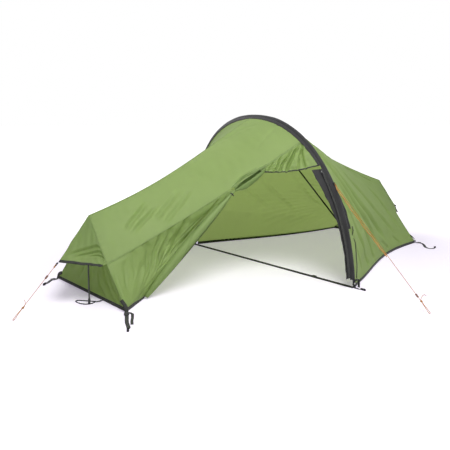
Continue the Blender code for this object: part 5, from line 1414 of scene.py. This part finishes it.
def makeFold():
    facts = foldCloth
    t, w = shares(facts["rows"], facts["cols"])
    u = lerp(fly["tiePoint"] + facts["ends"][0], fly["foldEnd"] + facts["ends"][1], t)
    top = seamPoint(u)
    centre = top + facts["under"] + xyz(0.0, 0.0, 0.006 * t - 0.008 * np.sin(math.pi * t))
    along = unit(seamPoint(u + 0.01) - seamPoint(u - 0.01))
    out = unit(np.cross(np.broadcast_to(upward, along.shape), along))
    out = out * np.sign(-out[..., 1:2])
    grow = (0.26 + 0.74 * smooth(t / 0.35)) * (1 - 0.35 * smooth((t - 0.75) / 0.25))
    tall, wide = lerp(*facts["tall"], t) * grow, lerp(*facts["wide"], t) * grow
    a = math.pi * lerp(*facts["turn"], w)
    pleats = 1 - 0.10 * np.sin(1.5 * a + 2 * t) ** 2 - 0.05 * np.sin(4 * a + 7 * t) * grow
    droop = facts["droop"] * np.sin(math.pi * t) * smooth((w - 0.5) * 2)
    grid = centre + out * (wide * pleats * np.cos(a) + droop)[..., None]
    grid = grid + xyz(0.0, 0.0, tall * pleats * np.sin(a) + 0.0009 * np.sin(t * 37.0 + 2 * a) * grow)
    grid = top + (grid - top) * smooth(w * 9)[..., None]
    piece = clothObject("doorFold", grid, "flyShadowPainted", centre[50, 0], facts["thickness"])
    sewIn(piece, "fly_cloth", "door_fold")


creaseShadowStrip = {"stations": 90, "across": 9, "half": 1.5, "lift": 0.0022, "thickness": 0.0004}


def makeCreaseShadowStrip():
    # a dark strip of painted shadow, laid in the crease over the fold. half is counted in grid columns
    facts, sheet = creaseShadowStrip, grids["roofNearLeft"]
    line = pointsAlong(roofNear["folds"][-1][2], facts["stations"]) * (sheet.shape[0] - 1, sheet.shape[1] - 1)
    half = facts["half"] * np.sin(math.pi * np.linspace(0, 1, facts["stations"])) ** 0.6
    strip = []
    for w in np.linspace(-1, 1, facts["across"]):
        i, j = line[:, 0], np.clip(line[:, 1] + w * half, 0, sheet.shape[1] - 1.001)
        row, column = i.astype(int), j.astype(int)
        low, high = (lerp(sheet[row, k], sheet[row + 1, k], (i - row)[:, None]) for k in (column, column + 1))
        strip.append(lerp(low, high, (j - column)[:, None]))
    strip = np.array(strip).transpose(1, 0, 2)
    strip = lifted(strip, np.full(strip.shape[:2], facts["lift"]))
    piece = clothObject("creaseShadowStrip", strip, "flyShadowPainted", thickness=facts["thickness"])
    sewIn(piece, "fly_cloth", "roof_panel_near_left")


# dark tape along the doorway's upper edge, and round the ground edge of the fly
edgeTape = {"doorway": 0.0085, "inner": 0.12, "width": 0.0026, "height": 0.0200, "stitchAt": 0.0165,
            "step": 0.012, "closest": 0.002}


def makeDoorTape():
    low, above = grids["doorGusset"][:, -1], grids["doorGusset"][:, -4]
    up = unit(above - low)
    seamStrip("doorTopTape", low, up, up * edgeTape["inner"], outwards(low, up, -up), "greyTape",
              edgeTape["doorway"], "edge_tape")


def makeBase(word, *lines):
    path = np.concatenate(lines) * (1, 1, 0)
    path = path[np.concatenate(([True], np.linalg.norm(np.diff(path, axis=0), axis=1) > edgeTape["closest"]))]
    run = runAlong(path)
    path = readOff(np.linspace(0, run[-1], int(run[-1] / edgeTape["step"])), run, path)
    outline = tapeOutline(edgeTape["width"], edgeTape["height"])
    tape = sweepTube("baseBinding." + word, path, upward, outline, "greyTape")
    side = unit(np.cross(np.gradient(path, axis=0), upward)) * (edgeTape["width"] / 2 + 0.0001)
    rows = [(path + side * s + upward * edgeTape["stitchAt"])[2:-2] for s in (-1, 1)]
    stitchRows("baseBinding." + word, rows, "edge_tape")
    sewIn(tape, "edge_tape", "base_binding_" + word)


def straight(start, end, count):
    return np.array([lerp(start, end, t) for t in np.linspace(0, 1, count)])


print("door roll", round(makeRoll(), 3), "m2 in", rollCloth["turns"], "turns")
makeFold()
makeCreaseShadowStrip()
makeDoorTape()
makeBase("left", grids["flyFarLeft"][:, -1], straight(corner(-1, False), corner(-1, True), 30),
         straight(corner(-1, True), behindRoll(0.0) * (1, 1, 0), 12))
makeBase("right", grids["flyFarRight"][:, -1], straight(corner(1, False), corner(1, True), 30),
         grids["flyNearRight"][::-1, -1])
print("door, fold and ground tapes made")


# webbing on the ground and at the feet
web = {"thickness": 0.0016, "wide": 0.020, "ground": 0.032, "groundEnds": (-0.7755, 0.785), "narrow": 0.016,
       "brace": 0.014, "braceRuns": (1.412, 0.338), "braceDrop": 0.0019, "stitchIn": 0.0022}
pegLoop = {"slot": 0.034, "end": 0.006, "rim": 0.0045, "height": 0.011, "taper": 0.016}
cornerWeb = {"top": 0.055, "out": 0.0022, "bend": ((0.0030, 0.0150), (0.0070, 0.0028)), "flat": 0.006,
             "tail": [(-1.2520, -0.3130, 0.0012), (-1.2440, -0.3240, 0.0005), (-1.2425, -0.3400, 0.0),
                      (-1.2620, -0.3800, 0.0), (-1.2950, -0.4300, 0.0), (-1.3230, -0.4780, 0.0)],
             "tailWidth": 0.015, "routes": {
    "near_left": [(-1.2527, -0.3047), (-1.288, -0.368), (-1.330, -0.442), (-1.356, -0.500), (-1.392, -0.556)],
    "far_left": [(-1.2585, 0.522), (-1.300, 0.519), (-1.325, 0.494), (-1.390, 0.432)],
    "near_right": [(1.3900, -0.3080), (1.4040, -0.3400), (1.3880, -0.3680), (1.340, -0.412), (1.292, -0.458),
                   (1.285, -0.492), (1.312, -0.509), (1.356, -0.498)],
    "far_right": [(1.3885, 0.5272), (1.440, 0.556), (1.485, 0.584), (1.530, 0.614)]}}
endFoot = {"height": 0.006, "path": [(-0.0265, -0.060), (-0.006, -0.064), (0.012, -0.062)],
           "loop": [(0.010, -0.063), (0.040, -0.078), (0.068, -0.074), (0.088, -0.050), (0.096, -0.014),
                    (0.094, 0.014), (0.082, 0.020), (0.060, 0.002), (0.038, -0.026), (0.020, -0.050)]}
hoopFoot = {"top": 0.052, "gap": 0.0008, "bend": 0.003, "flat": 0.008, "reach": 0.082,
            "pullWidth": 0.016, "pullAxis": 0.0165, "eyelet": (0.0045, 0.0013), "eyeletAt": 0.027,
            "pull": [(0.003, 0.044), (0.009, 0.0515), (0.019, 0.0515), (0.0265, 0.044), (0.029, 0.020),
                     (0.030, 0.0)]}


def bent(points, ups, count):  # a smooth path through the points, with its upward way turning along
    points = np.asarray(points, float)
    knots = runAlong(points)
    ups = unit(readOff(np.linspace(0, knots[-1], count), knots, unit(ups)))
    path = pointsAlong(points, count)
    path[:, 2] = np.maximum(path[:, 2], 0.0)
    return path, ups


def strap(name, node, path, ups, width, finish="webbing"):
    made = sweepTube(name, path, ups, tapeOutline(width, web["thickness"]), finish)
    return sewIn(made, "webbing", node)


def ringStrap(name, node, ring, out, height, low=0.0):  # webbing on edge, closed to a ring
    made = sweepTube(name, ring, out, tapeOutline(height, web["thickness"], low), "webbing", loop=True)
    return sewIn(made, "webbing", node)


def loopedStrap(node, points, ups, width, finish="webbing"):
    # webbing whose last stretch stands on edge as a loop for a peg
    words = node.split("_")
    name = words[0] + "".join(word.title() for word in words[1:])
    end, way = np.asarray(points[-1], float), unit(np.subtract(points[-1], points[-2]))
    path, ups = bent(points, ups, 130)
    run = runAlong(path)
    keep = run < run[-1] - pegLoop["slot"] - pegLoop["end"]
    path, ups = path[keep], ups[keep]
    taper = smooth((run[keep][-1] - run[keep]) / pegLoop["taper"])
    outline = [tapeOutline(lerp(width - 2 * pegLoop["rim"], width, t), web["thickness"]) for t in taper]
    sewIn(sweepTube(name, path, ups, outline, finish), "webbing", node)
    path, ups = path[:-8], ups[:-8]
    side = unit(np.cross(np.gradient(path, axis=0), ups)) * (width / 2 - web["stitchIn"])
    lift = ups * (web["thickness"] + 0.0001)
    stitchRows(name, [(path + side * s + lift)[2:-2] for s in (-1, 1)], "webbing")
    middle = end - way * (pegLoop["slot"] / 2 + pegLoop["end"])
    side = np.cross(upward, way)
    a = fullTurn(72)
    half = width / 2 - pegLoop["rim"] + web["thickness"]
    along = (pegLoop["slot"] / 2 + web["thickness"]) * np.cos(a)
    across = half * np.sin(a) * (0.72 + 0.28 * np.cos(a)) * 1.12
    ring = middle + way * along[:, None] + side * across[:, None] + upward * pegLoop["height"] / 2
    out = unit(way * (np.cos(a) * half)[:, None] + side * (np.sin(a) * pegLoop["slot"] / 2)[:, None])
    ringStrap(name + "Loop", node, ring, out, pegLoop["height"], -web["thickness"])


def cornerStrap(word, route):
    near, side = word.startswith("near"), -1 if word.endswith("left") else 1
    base = corner(side, near)
    high = endEdge(1 - cornerWeb["top"] / peak(side)[2], near, side)
    first, second = (np.array((x, y, 0.0)) for x, y in route[:2])
    out = unit(second - first)
    points = [high + out * cornerWeb["out"]] + [base + out * x + upward * z for x, z in cornerWeb["bend"]]
    points += [first + out * cornerWeb["flat"]] + [np.array((x, y, 0.0)) for x, y in route[1:]]
    ups = [out, out, out + upward] + [upward] * (len(points) - 3)
    loopedStrap("corner_strap_" + word, points, ups, web["wide"], "greyTape")


def endFootStrap(side, word):
    path, loop = ([(peak(side)[0] + side * x, peak(side)[1] + y, 0.0) for x, y in endFoot[key]]
                  for key in ("path", "loop"))
    node, height = "end_foot_strap_" + word, endFoot["height"]
    strap("endFootStrap" + word.title(), node, *bent(path, [upward] * 3, 40), web["narrow"])
    ring = pointsAlong(loop + loop[:1], 140)[:-1] + upward * height / 2
    out = unit(np.cross(np.roll(ring, -2, axis=0) - np.roll(ring, 2, axis=0), upward))
    ringStrap("endFootLoop" + word.title(), node, ring, out, height)


def hoopFootStrap(near, word):
    side = -1.0 if near else 1.0
    node = "hoop_foot_strap_" + word
    top = hoopAt(np.asarray(runAtHeight(sleeve["footZ"], near)), sleeve["crown"] + hoopFoot["gap"])[1]
    bend = top + side * hoopFoot["bend"]
    points = [(0.0, top, hoopFoot["top"]), (0.0, top, 0.012), (0.0, bend, 0.003),
              (0.0, bend + side * hoopFoot["flat"], 0.0), (0.0, bend + side * hoopFoot["reach"], 0.0)]
    loopedStrap(node, points, [(0.0, side, 0.0)] * 2 + [(0.0, side, 1.0)] + [upward] * 2, web["narrow"])
    # a pull of tape that arches beside it, and the eyelet over its stitches
    across = top + side * (hoopFoot["pullWidth"] / 2 + web["thickness"] / 4)
    pull = pointsAlong([(-side * x, across, z) for x, z in hoopFoot["pull"]], 60)
    pull[:, 2] = np.maximum(pull[:, 2], 0.0)
    away = unit(pull - (-side * hoopFoot["pullAxis"], across, 0.0))
    strap("hoopFootPull." + word, node, pull, away, hoopFoot["pullWidth"], "greyTape")
    a, (radius, rim) = fullTurn(36), hoopFoot["eyelet"]
    ring = xyz(radius * np.cos(a), top + side * (web["thickness"] + 0.0002),
               hoopFoot["eyeletAt"] + radius * np.sin(a))
    outline = roundOutline(rim, 8)
    eyelet = sweepTube("hoopFootEyelet." + word, ring, (0.0, side, 0.0), outline, "eyelet", loop=True)
    sewIn(eyelet, "webbing")


def innerStrap():
    top, foot = (hoopAt(np.asarray(run), sleeve["floor"] - web["braceDrop"]) for run in web["braceRuns"])
    up = unit(np.cross(hoopAcross, foot - top))
    path = straight(top, foot, 100) - up * web["thickness"] / 2
    strap("innerTensionStrap", "inner_tension_strap", path, up, web["brace"])


doorTie = {"width": 0.006, "thickness": 0.0014, "clear": 0.0016}


def makeTie():
    at = roll["tieAt"]
    way = unit(rollCentre(at + 0.02) - rollCentre(at - 0.02))
    side = unit(np.cross(way, upward))
    up = np.cross(side, way)
    a, half = fullTurn(72)[:, None], doorTie["thickness"] / 2
    out = side * np.cos(a) + up * np.sin(a)
    ring = rollCentre(at) + out * (float(rollRadius(at)) + doorTie["clear"] + half)
    outline = tapeOutline(doorTie["width"], doorTie["thickness"], -half)
    tie = sweepTube("doorTieLoop", ring, out, outline, "greyTape", loop=True)
    sewIn(tie, "webbing", "door_tie_loop")


# folded webbing tabs with a cord hole, each pulled towards its own peg
tab = {"length": 0.022, "width": 0.014, "thickness": 0.0024, "corner": 0.003, "soften": 0.0005,
       "hole": (0.0025, 0.0030, 0.0022), "holeFromEnd": 0.007, "out": 0.0166, "height": 0.603,
       "proud": 0.0016,
       "stitches": [(0.002, -0.005), (0.011, -0.005), (0.011, 0.005), (0.002, 0.005), (0.002, -0.005),
                    (0.011, 0.005)]}


def makeTab(word, start, away, up):
    x = unit(away)
    y = unit(np.cross(up, x))
    z = np.cross(x, y)
    outer = roundedBox(tab["length"] / 2, tab["width"] / 2, tab["corner"]) + (tab["length"] / 2, 0.0)
    hole = roundedBox(*tab["hole"]) + (tab["length"] - tab["holeFromEnd"], 0.0)
    plate = plateRing("guyTab." + word, start, np.array((x, y, z)), outer, hole, tab["thickness"], "webbing",
                      tab["soften"])
    sewIn(plate, "webbing", "guy_tab_" + word)
    face = z * (tab["thickness"] / 2 + 0.0002)
    rows = [[start + x * px + y * py + face * s for px, py in tab["stitches"]] for s in (-1, 1)]
    stitchRows("guyTab." + word, rows, "webbing")


def hoodTab(side, word):
    tip, ground = hoodPoint(side, 0.5, 1.0), peak(-1) * (1, 1, 0)
    peg = peak(side) * (1, 1, 0) + (np.array(guy["left"]["end"]) - ground) * (-side, 1, 1)
    makeTab(word, tip + unit(peg - tip) * tab["out"], unit(peg - tip), upward)


def hoopTab(near, word):
    run = np.asarray(runAtHeight(tab["height"], near))
    start = hoopAt(run, sleeve["crown"] + tab["proud"])
    peg = np.array(guy["near"]["end"]) * (1, 1 if near else -1, 1)
    makeTab(word, start, unit(peg - start), hoopOut(run))


for word, route in cornerWeb["routes"].items():
    cornerStrap(word, route)
tail = bent(cornerWeb["tail"], [upward] * len(cornerWeb["tail"]), 70)
strap("cornerStrapTail", "corner_strap_near_left", *tail, cornerWeb["tailWidth"], "greyTape")
ground = xyz(0.0, np.linspace(*web["groundEnds"], 240), 0.0)
strap("groundStrap", "ground_strap", ground, upward, web["ground"])
for side, word in ((-1, "left"), (1, "right")):
    endFootStrap(side, word)
    hoodTab(side, word)
for near, word in ((True, "near"), (False, "far")):
    hoopFootStrap(near, word)
    hoopTab(near, word)
innerStrap()
makeTie()
print("webbing made")


# finishes for the hard parts that keep their own shape, by the start of the node's name
hardFinish = {"hoop_pole_section": "pole", "hoop_pole_tip": "plastic", "end_pole_cap": "rubber",
              "end_pole_left": "blackPole", "end_pole_right": "blackPole", "door_toggle": "plastic",
              "zip_slider": "slider", "zip_pull": "plastic", "corner_buckle": "plastic",
              "ground_strap_buckle": "plastic", "guy_runner": "rust"}
for node, piece in nodes.items():
    for start, finish in hardFinish.items():
        if node.startswith(start):
            for slot in piece.material_slots:
                slot.material = finishes[finish]


# floor, world and lamps. Each lamp has its place, its width and its power
studio = {"floor": 0.62, "size": 60.0, "below": 0.0005, "seenFloor": colour(0.80, 0.775, 0.81),
          "glow": colour(0.262, 0.229, 0.316), "glowFar": colour(1, 1, 1), "glowReach": (1.3, 3.0),
          "world": 0.16, "aim": (0.0, 0.0, 0.4), "lamps": {
    "key": ((-1.6, -2.6, 4.0), 2.4, 185.0), "fill": ((0.5, -4.2, 2.4), 3.0, 34.0),
    "top": ((0.0, -0.3, 4.6), 2.4, 30.0), "back": ((-0.8, 3.6, 3.6), 2.4, 60.0)}}


def seenRays(tree):  # 1 for rays that show a thing, 0 for those that light others with it
    rays = addNode(tree, "ShaderNodeLightPath").outputs
    other = maths(tree, "MAXIMUM", rays["Is Glossy Ray"], rays["Is Transmission Ray"])
    return maths(tree, "MAXIMUM", rays["Is Camera Ray"], other)


def makeFloor():
    made, tree, shader = startMaterial("paleFloor", 0.95, specular=0.1)
    shader.inputs["Base Color"].default_value = colour(*(studio["floor"],) * 3)
    # the floor that the camera sees has a colour tinted against the green light through the fly, and it
    # glows: painted light, weak and tinted near the tent and white far from it
    pale = addNode(tree, "ShaderNodeBsdfDiffuse", {"Color": studio["seenFloor"]})
    away = addNode(tree, "ShaderNodeVectorMath", {0: objectPlace(tree)}, operation="LENGTH").outputs["Value"]
    near, far = studio["glowReach"]
    wide = addNode(tree, "ShaderNodeMapRange", {0: away, 1: near, 2: far}, interpolation_type="SMOOTHSTEP")
    tone = colourMix(tree, wide.outputs[0], studio["glow"], studio["glowFar"])
    glow = addNode(tree, "ShaderNodeEmission", {"Color": tone, "Strength": 1.0})
    both = addNode(tree, "ShaderNodeAddShader", {0: pale.outputs[0], 1: glow.outputs[0]})
    mixShaders(tree, seenRays(tree), shader, both, "Material Output")
    mesh = bpy.data.meshes.new("studioFloor")
    s, z = studio["size"], -studio["below"]
    mesh.from_pydata([(-s, -s, z), (s, -s, z), (s, s, z), (-s, s, z)], [], [(0, 1, 2, 3)])
    mesh.materials.append(made)
    floor = bpy.data.objects.new("studioFloor", mesh)
    bpy.context.collection.objects.link(floor)


def makeWorld():
    world = bpy.data.worlds.new("studioWorld")
    bpy.context.scene.world = world
    world.use_nodes = True
    tree = world.node_tree
    light = tree.nodes["Background"]
    light.inputs["Color"].default_value = colour(1, 1, 1)
    light.inputs["Strength"].default_value = studio["world"]
    white = addNode(tree, "ShaderNodeBackground", {"Color": colour(1, 1, 1), "Strength": 1.0})
    mixShaders(tree, seenRays(tree), light, white, "World Output")


def makeLamp(name, place, size, power):
    data = bpy.data.lights.new(name, "AREA")
    data.shape = "DISK"
    data.size = size
    data.energy = power
    made = bpy.data.objects.new(name, data)
    made.location = place
    made.rotation_euler = (Vector(studio["aim"]) - Vector(place)).to_track_quat("-Z", "Y").to_euler()
    bpy.context.collection.objects.link(made)


makeFloor()
makeWorld()
for word, facts in studio["lamps"].items():
    makeLamp(word + "Lamp", *facts)
bpy.context.scene.view_settings.view_transform = "Standard"
